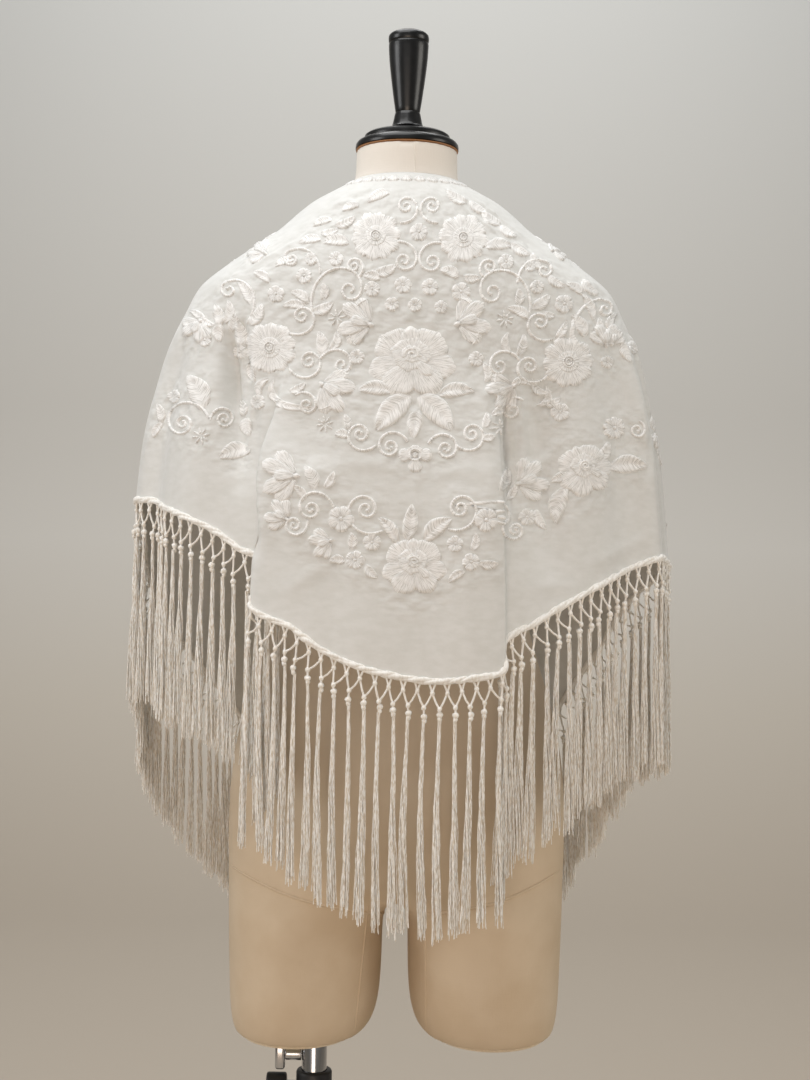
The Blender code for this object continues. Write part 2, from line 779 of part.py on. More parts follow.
def make_stand(collection, steel, enamel, plastic):
    """Base, outer tube, collar and its locking knob, all still while the pole slides."""
    base = turned(
        "stand_base",
        (
            (0.0, BASE_THICKNESS),
            (BASE_RADIUS - 0.010, BASE_THICKNESS),
            (BASE_RADIUS - 0.002, BASE_THICKNESS - 0.003),
            (BASE_RADIUS, BASE_THICKNESS - 0.008),
            (BASE_RADIUS, 0.0),
            (0.0, 0.0),
        ),
        collection,
        enamel,
        steps=36,
    )
    foot_bottom = BASE_THICKNESS + FIT
    foot = turned(
        "stand_foot",
        (
            (TUBE_RADIUS + FIT, foot_bottom + FOOT_HEIGHT),
            (TUBE_RADIUS + 0.006, foot_bottom + FOOT_HEIGHT),
            (FOOT_RADIUS, foot_bottom + 0.005),
            (FOOT_RADIUS, foot_bottom),
            (TUBE_RADIUS + FIT, foot_bottom),
        ),
        collection,
        steel,
        steps=20,
        centre=(POLE_X, 0.0),
        closed=True,
    )
    tube = turned(
        "stand_tube",
        (
            (TUBE_BORE, TUBE_TOP),
            (TUBE_RADIUS, TUBE_TOP),
            (TUBE_RADIUS, BASE_THICKNESS + FIT),
            (TUBE_BORE, BASE_THICKNESS + FIT),
        ),
        collection,
        steel,
        steps=20,
        centre=(POLE_X, 0.0),
        closed=True,
    )
    collar = turned(
        "stand_collar",
        (
            (TUBE_BORE, COLLAR_TOP),
            (COLLAR_RADIUS - 0.0015, COLLAR_TOP),
            (COLLAR_RADIUS, COLLAR_TOP - 0.0015),
            (COLLAR_RADIUS, COLLAR_BOTTOM + 0.001),
            (COLLAR_RADIUS - 0.001, COLLAR_BOTTOM),
            (TUBE_RADIUS + FIT, COLLAR_BOTTOM),
            (TUBE_RADIUS + FIT, TUBE_TOP + FIT),
            (TUBE_BORE, TUBE_TOP + FIT),
        ),
        collection,
        plastic,
        steps=20,
        centre=(POLE_X, 0.0),
        closed=True,
    )
    stem_end = POLE_X - COLLAR_RADIUS - FIT
    stem = make_bar(
        "knob_stem",
        STEM_RADIUS,
        STEM_LENGTH,
        (stem_end - 0.5 * STEM_LENGTH, 0.0, KNOB_Z),
        "X",
        collection,
        steel,
        segments=12,
    )
    knob_x = stem_end - STEM_LENGTH - FIT - 0.5 * KNOB_LENGTH
    knob = make_bar("stand_knob", KNOB_RADIUS, KNOB_LENGTH, (knob_x, 0.0, KNOB_Z), "X", collection, plastic)
    rounded = knob.modifiers.new("rounded edges", "BEVEL")
    rounded.width = KNOB_ROUNDING
    rounded.segments = 2
    rounded.limit_method = "ANGLE"
    return [base, foot, tube, collar, stem, knob]


def make_pole(collection, steel):
    """The sliding pole under the left thigh end, with its clamp screw and lever."""
    top = LEG_END_HEIGHT - 2 * FIT - END_PLATE_THICKNESS
    length = top - POLE_BOTTOM
    pole = make_bar(
        "sliding_pole",
        POLE_RADIUS,
        length,
        (POLE_X, 0.0, top - 0.5 * length),
        "Z",
        collection,
        steel,
        segments=24,
    )
    screw_x = POLE_X - POLE_RADIUS - FIT - 0.5 * SCREW_LENGTH
    screw = make_bar(
        "clamp_screw",
        SCREW_RADIUS,
        SCREW_LENGTH,
        (screw_x, 0.0, SCREW_Z),
        "X",
        collection,
        steel,
        segments=16,
    )
    return [pole, screw, make_lever(collection, steel)]


def parent_to(things, name, location, collection):
    """Hang pieces on an empty without moving them."""
    empty = bpy.data.objects.new(name, None)
    collection.objects.link(empty)
    empty.location = location
    bpy.context.view_layer.update()
    for thing in things:
        thing.parent = empty
        thing.matrix_parent_inverse = empty.matrix_world.inverted()


def main():
    """Build the shawl, the dress form and the stand."""
    clear_scene()
    parts = new_collection("manila_shawl_on_dress_form")
    silk = new_material("white silk crepe", (0.86, 0.85, 0.82), 0.55)
    stitch = new_material("white silk floss", (0.88, 0.87, 0.84), 0.40)
    floss = new_material("ivory silk fringe", (0.80, 0.76, 0.68), 0.40)
    canvas = new_material("cream canvas", (0.78, 0.70, 0.58), 0.85)
    lacquer = new_material("black lacquered wood", (0.010, 0.010, 0.011), 0.25)
    board = new_material("cream end board", (0.70, 0.62, 0.50), 0.80)
    steel = new_material("chromed steel", (0.60, 0.60, 0.60), 0.20, 1.0)
    enamel = new_material("black enamelled steel", (0.015, 0.015, 0.015), 0.35)
    plastic = new_material("black plastic", (0.015, 0.015, 0.015), 0.45)

    cloth, places, edge = make_cloth(parts, silk)
    path = HemPath(places, edge)
    rising = [cloth]
    for name, first, last in FRINGE_STRETCHES:
        start = path.length_at_angle(first) + 0.5 * STRETCH_GAP
        end = path.length_at_angle(last) - 0.5 * STRETCH_GAP
        rising.append(make_fringe(name, path, start, end, parts, floss))

    bpy.context.view_layer.update()
    tree = BVHTree.FromObject(cloth, bpy.context.evaluated_depsgraph_get())
    for motif in MOTIFS:
        rising.append(make_motif(motif, tree, parts, stitch))

    rising.append(make_body(parts, canvas))
    rising.append(turned("neck_cap", CAP_PROFILE, parts, lacquer, steps=24))
    rising.append(turned("finial", FINIAL_PROFILE, parts, lacquer, steps=16))
    rising.append(make_end_plate("end_plate_left", -1, parts, board))
    rising.append(make_end_plate("end_plate_right", 1, parts, board))
    rising.extend(make_pole(parts, steel))
    still = make_stand(parts, steel, enamel, plastic)
    parent_to(rising, "rising_form", (POLE_X, 0.0, COLLAR_TOP), parts)
    parent_to(still, "standing_base", (0.0, 0.0, 0.0), parts)
    bpy.context.view_layer.update()


main()
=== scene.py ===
"""White embroidered manila shawl over a canvas dress form, dressed and lit as in its photograph.

Metres, +Z up. The back of the figure faces -Y and +X is to the right seen from behind. Angles go round
the figure from the centre back (0) towards +X (90) and on to the centre front (180). Places named across
and down are pixels of the 810 x 1080 photograph: they are laid on the cloth along the camera's own rays.
"""

import logging
import math
import random
from collections.abc import Callable, Sequence
from dataclasses import dataclass, replace
from enum import Enum
from itertools import pairwise
from typing import NamedTuple

import bmesh
import bpy
import numpy as np
from mathutils import Matrix, Vector, noise
from mathutils.bvhtree import BVHTree


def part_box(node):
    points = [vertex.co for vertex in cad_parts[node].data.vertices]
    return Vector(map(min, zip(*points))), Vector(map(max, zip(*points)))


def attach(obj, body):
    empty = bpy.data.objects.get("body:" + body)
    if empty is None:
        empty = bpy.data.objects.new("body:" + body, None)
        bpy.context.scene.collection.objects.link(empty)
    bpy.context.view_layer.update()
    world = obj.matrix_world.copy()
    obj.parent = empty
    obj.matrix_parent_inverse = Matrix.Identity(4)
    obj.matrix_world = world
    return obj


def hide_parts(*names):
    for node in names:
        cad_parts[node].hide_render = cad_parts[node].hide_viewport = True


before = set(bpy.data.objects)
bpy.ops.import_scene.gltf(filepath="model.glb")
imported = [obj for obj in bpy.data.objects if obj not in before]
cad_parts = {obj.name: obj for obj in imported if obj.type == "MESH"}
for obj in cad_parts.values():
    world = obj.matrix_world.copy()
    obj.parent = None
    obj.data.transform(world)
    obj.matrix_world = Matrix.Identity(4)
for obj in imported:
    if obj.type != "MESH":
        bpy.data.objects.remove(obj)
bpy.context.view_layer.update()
LOG = logging.getLogger("shawl")
MM = 0.001
UP = Vector((0, 0, 1))
# Points closer than this are one point, in metres.
SAME_PLACE = 0.00002
# How far the needlework of a hidden spray reaches from its middle, in metres.
SPRAY_REACH = 0.02

Pair = tuple[float, float]
Triple = tuple[float, float, float]
Form = Callable[[float, float], Triple]
Stitches = Callable[[float, float], Pair]
BMesh = bmesh.types.BMesh
Edge = bmesh.types.BMEdge
Vert = bmesh.types.BMVert
Material = bpy.types.Material
Mesh = bpy.types.Mesh
Node = bpy.types.Node
Socket = bpy.types.NodeSocket
Thing = bpy.types.Object
Tree = bpy.types.NodeTree


def smooth(share: float) -> float:
    """Eased 0 to 1."""
    share = min(max(share, 0.0), 1.0)
    return share * share * (3.0 - 2.0 * share)


def shares(count: int) -> list[float]:
    """Evenly spaced shares from 0 to 1, both included, with count steps."""
    return [i / count for i in range(count + 1)]


def around(out: float, degrees: float) -> Pair:
    """Flat point at a distance from the origin, in a direction from the right round through up."""
    angle = math.radians(degrees)
    return out * math.cos(angle), out * math.sin(angle)


def level_outward(point: Vector) -> Vector:
    """Direction from the figure's axis to a point."""
    return Vector((point.x, point.y, 0)).normalized()


def lengths_along(path: Sequence[Sequence[float]]) -> list[float]:
    """Length along a path at each of its points."""
    lengths = [0.0]
    for a, b in pairwise(path):
        lengths.append(lengths[-1] + math.dist(a, b))
    return lengths


def linear(hex_code: str) -> tuple[float, float, float, float]:
    """An sRGB hex colour as the linear colour that a shader takes."""
    channels = [int(hex_code[i : i + 2], 16) / 255 for i in (1, 3, 5)]
    red, green, blue = (c / 12.92 if c <= 0.04045 else ((c + 0.055) / 1.055) ** 2.4 for c in channels)
    return red, green, blue, 1.0


def feed(node: Node, inputs: dict[str | int, object]) -> None:
    """Set a node's sockets, by name or number, to values, or link them to the sockets given."""
    for socket, value in inputs.items():
        if isinstance(value, Socket):
            node.id_data.links.new(value, node.inputs[socket])
        else:
            node.inputs[socket].default_value = value


def add_node(
    tree: Tree,
    kind: str,
    settings: dict[str, object] | None = None,
    inputs: dict[str | int, object] | None = None,
) -> Node:
    """Add a node with its own settings and its sockets' values or links."""
    node = tree.nodes.new(kind)
    for name, value in (settings or {}).items():
        setattr(node, name, value)
    feed(node, inputs or {})
    return node


def add_ramp(tree: Tree, factor: Socket, stops: Sequence[tuple[float, str]]) -> Socket:
    """Add a colour ramp with sRGB hex stops, driven by a factor."""
    ramp = add_node(tree, "ShaderNodeValToRGB", inputs={"Fac": factor})
    elements = ramp.color_ramp.elements
    while len(elements) < len(stops):
        elements.new(0.5)
    for element, (place, hex_code) in zip(elements, stops):
        element.position = place
        element.color = linear(hex_code)
    return ramp.outputs["Color"]


def add_noise(
    tree: Tree, size_mm: Triple, detail: float = 2.0, roughness: float = 0.5, space: Socket | None = None
) -> Socket:
    """Add soft noise.

    Args:
        tree: The material's node tree.
        size_mm: Size of its lumps along each direction.
        detail: How many times finer noise is added.
        roughness: How strong the finer noise is.
        space: Coordinates in metres, or none for the object's own.

    Returns:
        The noise's value.
    """
    if space is None:
        space = add_node(tree, "ShaderNodeTexCoord").outputs["Object"]
    scale = tuple(1 / (size * MM) for size in size_mm)
    place = add_node(tree, "ShaderNodeMapping", inputs={"Vector": space, "Scale": scale}).outputs["Vector"]
    inputs = {"Vector": place, "Scale": 1.0, "Detail": detail, "Roughness": roughness}
    return add_node(tree, "ShaderNodeTexNoise", inputs=inputs).outputs["Fac"]


def add_bump(
    tree: Tree, height: Socket, strength: float, distance: float, under: Socket | None = None
) -> Socket:
    """Add relief, over other relief if there is some under it."""
    inputs = {"Height": height, "Strength": strength, "Distance": distance}
    if under is not None:
        inputs["Normal"] = under
    return add_node(tree, "ShaderNodeBump", inputs=inputs).outputs["Normal"]


def add_maths(tree: Tree, operation: str, a: Socket, b: Socket) -> Socket:
    """Add a sum or a product of two values."""
    return add_node(tree, "ShaderNodeMath", {"operation": operation}, {0: a, 1: b}).outputs["Value"]


def add_height(tree: Tree, low: float, high: float) -> Socket:
    """Add the height above the floor as a share of the way from low to high."""
    place = add_node(tree, "ShaderNodeTexCoord").outputs["Object"]
    parts = add_node(tree, "ShaderNodeSeparateXYZ", inputs={"Vector": place})
    inputs = {"Value": parts.outputs["Z"], "From Min": low, "From Max": high}
    return add_node(tree, "ShaderNodeMapRange", inputs=inputs).outputs["Result"]


def principled(name: str, values: dict[str | int, object]) -> tuple[Material, Node]:
    """Start a material. Returns it and its shader, whose sockets have the values given."""
    material = bpy.data.materials.new(name)
    material.use_nodes = True
    shader = material.node_tree.nodes["Principled BSDF"]
    feed(shader, values)
    return material, shader


@dataclass(frozen=True)
class SilkCrepe:
    """White silk crepe, plain woven from twisted yarn: matt, with a pebbly grain and a faint bloom."""

    colour: str = "#E2E3E1"
    shade: str = "#DCDDDA"
    grain_mm: float = 0.9
    rumple_mm: float = 12.0
    wrinkle_mm: float = 7.5

    def build(self) -> Material:
        """Make the material."""
        material, shader = principled(
            "white silk crepe",
            {"Roughness": 0.58, "Sheen Weight": 0.25, "Sheen Roughness": 0.45, "Specular IOR Level": 0.35},
        )
        tree = material.node_tree
        # Real crepe grain is about 0.3 mm: drawn three times coarser, so that it shows in the render.
        fine = add_noise(tree, (self.grain_mm,) * 3)
        broad = add_noise(tree, (self.rumple_mm, self.rumple_mm, self.rumple_mm / 2), 3.0)
        # The cloth's gathered attribute is 1 close round the stitching, where small wrinkles crowd.
        gathered = add_node(tree, "ShaderNodeAttribute", {"attribute_name": "gathered"}).outputs["Fac"]
        wrinkles = add_noise(tree, (self.wrinkle_mm, self.wrinkle_mm, self.wrinkle_mm / 1.7), 0.5)
        bump = add_bump(tree, add_maths(tree, "MULTIPLY", gathered, wrinkles), 0.40, 0.0025)
        bump = add_bump(tree, broad, 0.08, 0.0012, bump)
        bump = add_bump(tree, fine, 0.15, 0.0004, bump)
        tint = add_ramp(tree, broad, ((0.35, self.shade), (0.65, self.colour)))
        feed(shader, {"Base Color": tint, "Normal": bump})
        return material


@dataclass(frozen=True)
class SatinStitch:
    """Untwisted white silk floss laid side by side: glossy along each stitch, with painted shade in the
    furrows between stitches.
    """

    colour: str = "#FCFCFB"
    furrow_shade: str = "#CDCDC9"
    stitch_mm: float = 0.9
    stitch_length_mm: float = 9.0

    def build(self) -> Material:
        """Make the material. The piece's thread attribute holds metres across and along the stitches."""
        material, shader = principled(
            "white silk floss in satin stitch",
            {"Roughness": 0.42, "Sheen Weight": 0.20, "Sheen Roughness": 0.40, "Specular IOR Level": 0.45},
        )
        tree = material.node_tree
        thread = add_node(tree, "ShaderNodeAttribute", {"attribute_name": "thread"}).outputs["Vector"]
        # Real floss lies about 0.4 mm apart: drawn at twice that, so that single stitches show. The
        # attribute's third number isn't a length: it tells the patches apart, so it keeps its value.
        size_mm = (self.stitch_mm, self.stitch_length_mm, 1 / MM)
        streak = add_noise(tree, size_mm, 2.0, 0.6, thread)
        # The darker furrow colour is painted shade between the stitches, laid on the same streaks as the
        # relief.
        tint = add_ramp(tree, streak, ((0.31, self.furrow_shade), (0.55, self.colour)))
        feed(shader, {"Base Color": tint, "Normal": add_bump(tree, streak, 0.75, 0.0009)})
        return material


@dataclass(frozen=True)
class FringeSilk:
    """Loosely twisted ivory silk: fine threads with painted glints and painted shade in streaks along their
    length.
    """

    colour: str = "#FFFFFC"
    shade: str = "#DBD0BE"
    name: str = "ivory silk fringe"
    streak_mm: float = 0.65
    roughness: float = 0.22
    stretch: float = 9.0

    def build(self) -> Material:
        """Make the material."""
        sheen = {"Sheen Weight": 0.9, "Sheen Roughness": 0.4, "Specular IOR Level": 0.5}
        material, shader = principled(self.name, {"Roughness": self.roughness, **sheen})
        tree = material.node_tree
        streak = add_noise(tree, (self.streak_mm, self.streak_mm, self.streak_mm * self.stretch), 1.5)
        # The ramp paints glints in its bright colour and shade between the threads in its dark one.
        tint = add_ramp(tree, streak, ((0.38, self.shade), (0.56, self.colour)))
        feed(shader, {"Base Color": tint, "Normal": add_bump(tree, streak, 0.3, 0.0006)})
        return material


@dataclass(frozen=True)
class FormCanvas:
    """Cream cotton canvas glued tight over the form: matt plain weave, faintly slubbed and handled."""

    colour: str = "#D8C6AD"
    shade: str = "#D0BCA1"
    pale: str = "#EFE9E0"
    weave_mm: float = 1.3
    slub_mm: float = 11.7
    patch_mm: float = 60.0

    def build(self) -> Material:
        """Make the material."""
        material, shader = principled("cream cotton canvas", {"Roughness": 0.9, "Specular IOR Level": 0.2})
        tree = material.node_tree
        # Real canvas has a thread about every 0.6 mm: drawn twice as coarse, so that it shows.
        warp = add_noise(tree, (self.weave_mm, self.weave_mm, self.slub_mm))
        weft = add_noise(tree, (self.slub_mm, self.slub_mm, self.weave_mm))
        bump = add_bump(tree, add_maths(tree, "ADD", warp, weft), 0.25, 0.0004)
        handled = add_noise(tree, (self.patch_mm,) * 3, 4.0)
        tint = add_ramp(tree, handled, ((0.35, self.shade), (0.62, self.colour)))
        # The canvas colour is blended by height: paler and less yellow at the neck than at the hips.
        mix = {0: add_height(tree, 0.8, 1.45), 6: tint, 7: linear(self.pale)}
        paled_upwards = add_node(tree, "ShaderNodeMix", {"data_type": "RGBA"}, mix).outputs[2]
        feed(shader, {"Base Color": paled_upwards, "Normal": bump})
        return material


@dataclass(frozen=True)
class HardFinish:
    """A hard surface: its colour, its gloss and how much its fine grain varies both."""

    name: str
    colour: str
    worn: str
    roughness: float
    metallic: float = 0.0
    coat: float = 0.0
    grain_mm: float = 2.0
    stretch: float = 1.0
    relief: float = 0.1

    def build(self) -> Material:
        """Make the material."""
        material, shader = principled(
            self.name, {"Metallic": self.metallic, "Coat Weight": self.coat, "Coat Roughness": 0.08}
        )
        tree = material.node_tree
        speck = add_noise(tree, (self.grain_mm, self.grain_mm, self.grain_mm / self.stretch), 3.0)
        tint = add_ramp(tree, speck, ((0.40, self.colour), (0.75, self.worn)))
        span = {"Value": speck, "To Min": self.roughness * 0.85, "To Max": self.roughness * 1.25}
        gloss = add_node(tree, "ShaderNodeMapRange", inputs=span).outputs["Result"]
        bump = add_bump(tree, speck, self.relief, 0.0003)
        feed(shader, {"Base Color": tint, "Roughness": gloss, "Normal": bump})
        return material


# Lacquer is brushed on beech and polished: deep black with a clear wet highlight.
LACQUER = HardFinish("black lacquered beech", "#070809", "#0D0E11", 0.30, coat=0.12, grain_mm=6.0)
# The cap's turned underside is bare: light brown with fine rings.
BARE_BEECH = HardFinish("bare turned beech", "#9A6A42", "#B98657", 0.55, grain_mm=1.2, stretch=4.0)
# Chrome plate on a drawn tube: bright, with faint lengthwise drawing lines.
CHROME = HardFinish("chromed steel tube", "#C9CACC", "#B9BABC", 0.16, 1.0, grain_mm=1.5, stretch=0.04)
# Baked enamel on sheet steel: black with a soft orange-peel.
ENAMEL = HardFinish("black enamelled steel", "#111214", "#1B1C1F", 0.34, grain_mm=3.0, relief=0.2)
# Moulded ABS: black, finely sparked texture.
MOULDED_ABS = HardFinish("black moulded ABS", "#121315", "#1E1F22", 0.45, grain_mm=0.8, relief=0.3)
# Painted board: matt cream over a faint fibre.
PAINTED_BOARD = HardFinish("cream painted board", "#D9CAB0", "#E3D6BF", 0.8, grain_mm=2.5, relief=0.2)


def table(kind: type, *rows: tuple) -> tuple:
    """A table: its rows, each made into its kind."""
    return tuple(kind(*row) for row in rows)


class Ring(NamedTuple):
    """A level section: its height, half width to each side, and depth behind and in front."""

    height: float
    half_width: float
    back: float
    front: float


class Hem(NamedTuple):
    """Height of the hem at one angle round the figure."""

    angle: float
    height: float


class Opening(NamedTuple):
    """Half of the gap between the two straight front edges at one height."""

    height: float
    half_gap: float


class Fold(NamedTuple):
    """A soft upright fold: outward if depth is positive, a trough if it is negative."""

    angle: float
    half_spread: float
    depth: float
    start: float
    full: float


class Pleat(NamedTuple):
    """A sharp fold where the centre panel lies over the one beside it, tucked under by overlap."""

    angle: float
    half_spread: float
    set_back: float
    overlap: float
    start: float
    full: float
    raised_side: int
    reach: float


CLOTH_RINGS = table(
    Ring,
    (1.455, 0.0545, 0.0565, 0.0545),
    (1.446, 0.0710, 0.0640, 0.0610),
    (1.432, 0.0960, 0.0740, 0.0700),
    (1.403, 0.1300, 0.0890, 0.0840),
    (1.384, 0.1575, 0.0960, 0.0930),
    (1.365, 0.1845, 0.1020, 0.1010),
    (1.348, 0.2040, 0.1065, 0.1085),
    (1.321, 0.2180, 0.1120, 0.1190),
    (1.283, 0.2330, 0.1170, 0.1310),
    (1.204, 0.2530, 0.1260, 0.1460),
    (1.128, 0.2615, 0.1350, 0.1500),
    (1.050, 0.2680, 0.1430, 0.1500),
    (0.970, 0.2700, 0.1500, 0.1490),
    (0.800, 0.2700, 0.1560, 0.1500),
)
HEM = table(
    Hem,
    (-163, 0.812), (-150, 0.862), (-136, 0.926), (-125, 0.971), (-118, 1.006), (-105, 1.076),
    (-90, 1.126), (-75, 1.132), (-58, 1.123), (-48, 1.113), (-40, 1.100), (-34, 1.084),
    (-29, 1.062), (-25, 1.038), (-19, 1.012), (-15, 0.999), (-10, 0.987), (-5, 0.979),
    (0, 0.974), (6, 0.970), (12, 0.972), (17, 0.978), (20, 0.988), (23, 1.003), (26, 1.016),
    (33, 1.036), (43, 1.055), (57, 1.074), (70, 1.084), (90, 1.080), (105, 1.062),
    (117, 1.030), (128, 0.988), (136, 0.950), (142, 0.905), (150, 0.860), (163, 0.800),
)
FRONT_OPENING = table(
    Opening,
    (1.455, 0.0535), (1.446, 0.0570), (1.432, 0.0600), (1.403, 0.0630), (1.348, 0.0690),
    (1.283, 0.0760), (1.204, 0.0810), (1.000, 0.0760), (0.800, 0.0700),
)
FOLDS = table(
    Fold,
    (-112, 15, 0.011, 1.33, 1.10),
    (-131, 12, -0.010, 1.30, 1.05),
    (-147, 11, 0.012, 1.30, 1.05),
    (-69, 10, -0.008, 1.33, 1.22),
    (-84, 9, 0.004, 1.33, 1.20),
    (-50, 12, 0.005, 1.30, 1.15),
    (-8, 14, 0.004, 1.15, 1.00),
    (36, 10, 0.004, 1.25, 1.10),
    (54, 10, -0.005, 1.33, 1.20),
    (68, 8, 0.006, 1.34, 1.24),
    (82, 9, -0.006, 1.32, 1.20),
    (100, 11, 0.010, 1.33, 1.12),
    (118, 12, -0.010, 1.30, 1.08),
    (134, 12, 0.012, 1.30, 1.05),
    (150, 10, -0.009, 1.28, 1.00),
)
PLEATS = table(
    Pleat,
    (-27.5, 7.0, 0.023, 0.022, 1.300, 1.150, 1, 40),
    (20.5, 7.0, 0.017, 0.012, 1.285, 1.130, -1, 34),
)


def read_table(rows: Sequence[NamedTuple], column: str, place: float) -> float:
    """Read a smooth curve through a table's rows.

    Args:
        rows: The table; each row's first column is its place.
        column: Name of the column to read.
        place: Where to read it.

    Returns:
        The column's value there.
    """
    rows = sorted(rows)
    places = [row[0] for row in rows]
    values = [getattr(row, column) for row in rows]
    if place <= places[0]:
        return values[0]
    if place >= places[-1]:
        return values[-1]
    after = next(i for i, at in enumerate(places) if at > place)
    before = after - 1

    def slope(i: int) -> float:
        low, high = max(i - 1, 0), min(i + 1, len(rows) - 1)
        return (values[high] - values[low]) / (places[high] - places[low])

    span = places[after] - places[before]
    t = (place - places[before]) / span
    return (
        values[before] * (1 + 2 * t) * (1 - t) ** 2
        + slope(before) * span * t * (1 - t) ** 2
        + values[after] * t * t * (3 - 2 * t)
        + slope(after) * span * t * t * (t - 1)
    )


def ring_at(rows: Sequence[Ring], height: float) -> Ring:
    """The smooth section between the rows' own sections."""
    return Ring(height, *(read_table(rows, name, height) for name in ("half_width", "back", "front")))


def point_on_ring(ring: Ring, angle: float) -> tuple[Vector, Vector, Vector]:
    """Point, outward direction and direction along the section, at an angle round it."""
    sine, cosine = math.sin(math.radians(angle)), math.cos(math.radians(angle))
    depth = ring.back if cosine >= 0 else ring.front
    point = Vector((ring.half_width * sine, -depth * cosine, ring.height))
    outward = Vector((sine / ring.half_width, -cosine / depth, 0)).normalized()
    return point, outward, Vector((-outward.y, outward.x, 0))


@dataclass(frozen=True)
class PhotoView:
    """Where the photograph was taken from, level and behind the figure."""

    place: Triple = (0.004, -1.62, 1.10)
    roll: float = 0.9
    lens_mm: float = 54.0
    sensor_mm: float = 36.0
    width: int = 810
    height: int = 1080

    @property
    def matrix(self) -> Matrix:
        """The camera's place and turn."""
        upright = Matrix.Rotation(math.radians(90), 4, "X")
        return Matrix.Translation(self.place) @ upright @ Matrix.Rotation(math.radians(self.roll), 4, "Z")

    def ray(self, across: float, down: float) -> tuple[Vector, Vector]:
        """Start and direction of the line of sight through a pixel of the photograph."""
        focal = self.lens_mm / self.sensor_mm * self.height
        sight = Vector((across - self.width / 2, self.height / 2 - down, -focal)).normalized()
        return Vector(self.place), self.matrix.to_3x3() @ sight

    def build(self) -> None:
        """Make the camera and look through it."""
        data = bpy.data.cameras.new("photograph")
        data.lens = self.lens_mm
        data.sensor_width = self.sensor_mm
        data.sensor_fit = "AUTO"
        data.clip_start = 0.05
        camera = bpy.data.objects.new("photograph", data)
        bpy.context.scene.collection.objects.link(camera)
        camera.matrix_world = self.matrix
        bpy.context.scene.camera = camera


def link_mesh(name: str, mesh: Mesh, material: Material) -> Thing:
    """Link a finished mesh as a piece at the origin."""
    thing = bpy.data.objects.new(name, mesh)
    bpy.context.scene.collection.objects.link(thing)
    mesh.materials.append(material)
    LOG.info("%s: %d faces", name, len(mesh.polygons))
    return thing


def mesh_from(shape: BMesh, name: str, sharp_angle: float = 180.0) -> Mesh:
    """Turn a bmesh into a smooth mesh, sharp at edges steeper than some degrees, and free it."""
    mesh = bpy.data.meshes.new(name)
    shape.normal_update()
    shape.to_mesh(mesh)
    shape.free()
    mesh.shade_smooth()
    if sharp_angle < 180:
        mesh.set_sharp_from_angle(angle=math.radians(sharp_angle))
    return mesh


def piece_from(
    shape: BMesh, name: str, material: Material, node: str = "", sharp_angle: float = 180.0
) -> Thing:
    """Link a bmesh as a piece, in place of a node if one is named."""
    thing = link_mesh(name, mesh_from(shape, name, sharp_angle), material)
    if node:
        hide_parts(node)
    return thing


def tubes(
    name: str, radius: float, sides: int, paths: Sequence[Sequence[Vector]], swell: float = 0.0
) -> Mesh:
    """Lay a round thread along each path.

    Args:
        name: The mesh's name.
        radius: The threads' radius.
        sides: Extra points on each quarter of a thread's section.
        paths: The paths' points.
        swell: Share by which each thread thickens and thins along its length.

    Returns:
        One mesh of all the threads.
    """
    curve = bpy.data.curves.new(name, "CURVE")
    curve.dimensions = "3D"
    curve.bevel_depth = radius
    curve.bevel_resolution = sides
    curve.use_fill_caps = True
    for path in paths:
        spline = curve.splines.new("POLY")
        spline.points.add(len(path) - 1)
        spline.points.foreach_set("co", [value for point in path for value in (*point, 1.0)])
        if swell:
            lumps = [1 + swell * noise.noise(point * 160) for point in path]
            spline.points.foreach_set("radius", lumps)
    holder = bpy.data.objects.new(name, curve)
    bpy.context.scene.collection.objects.link(holder)
    graph = bpy.context.evaluated_depsgraph_get()
    mesh = bpy.data.meshes.new_from_object(holder.evaluated_get(graph))
    bpy.data.objects.remove(holder)
    bpy.data.curves.remove(curve)
    mesh.name = name
    mesh.shade_smooth()
    return mesh


@dataclass(frozen=True)
class Seat:
    """A place on a surface, with its own right, up and outward directions and the aim onto the surface."""

    origin: Vector
    right: Vector
    up: Vector
    outward: Vector
    aim: Vector


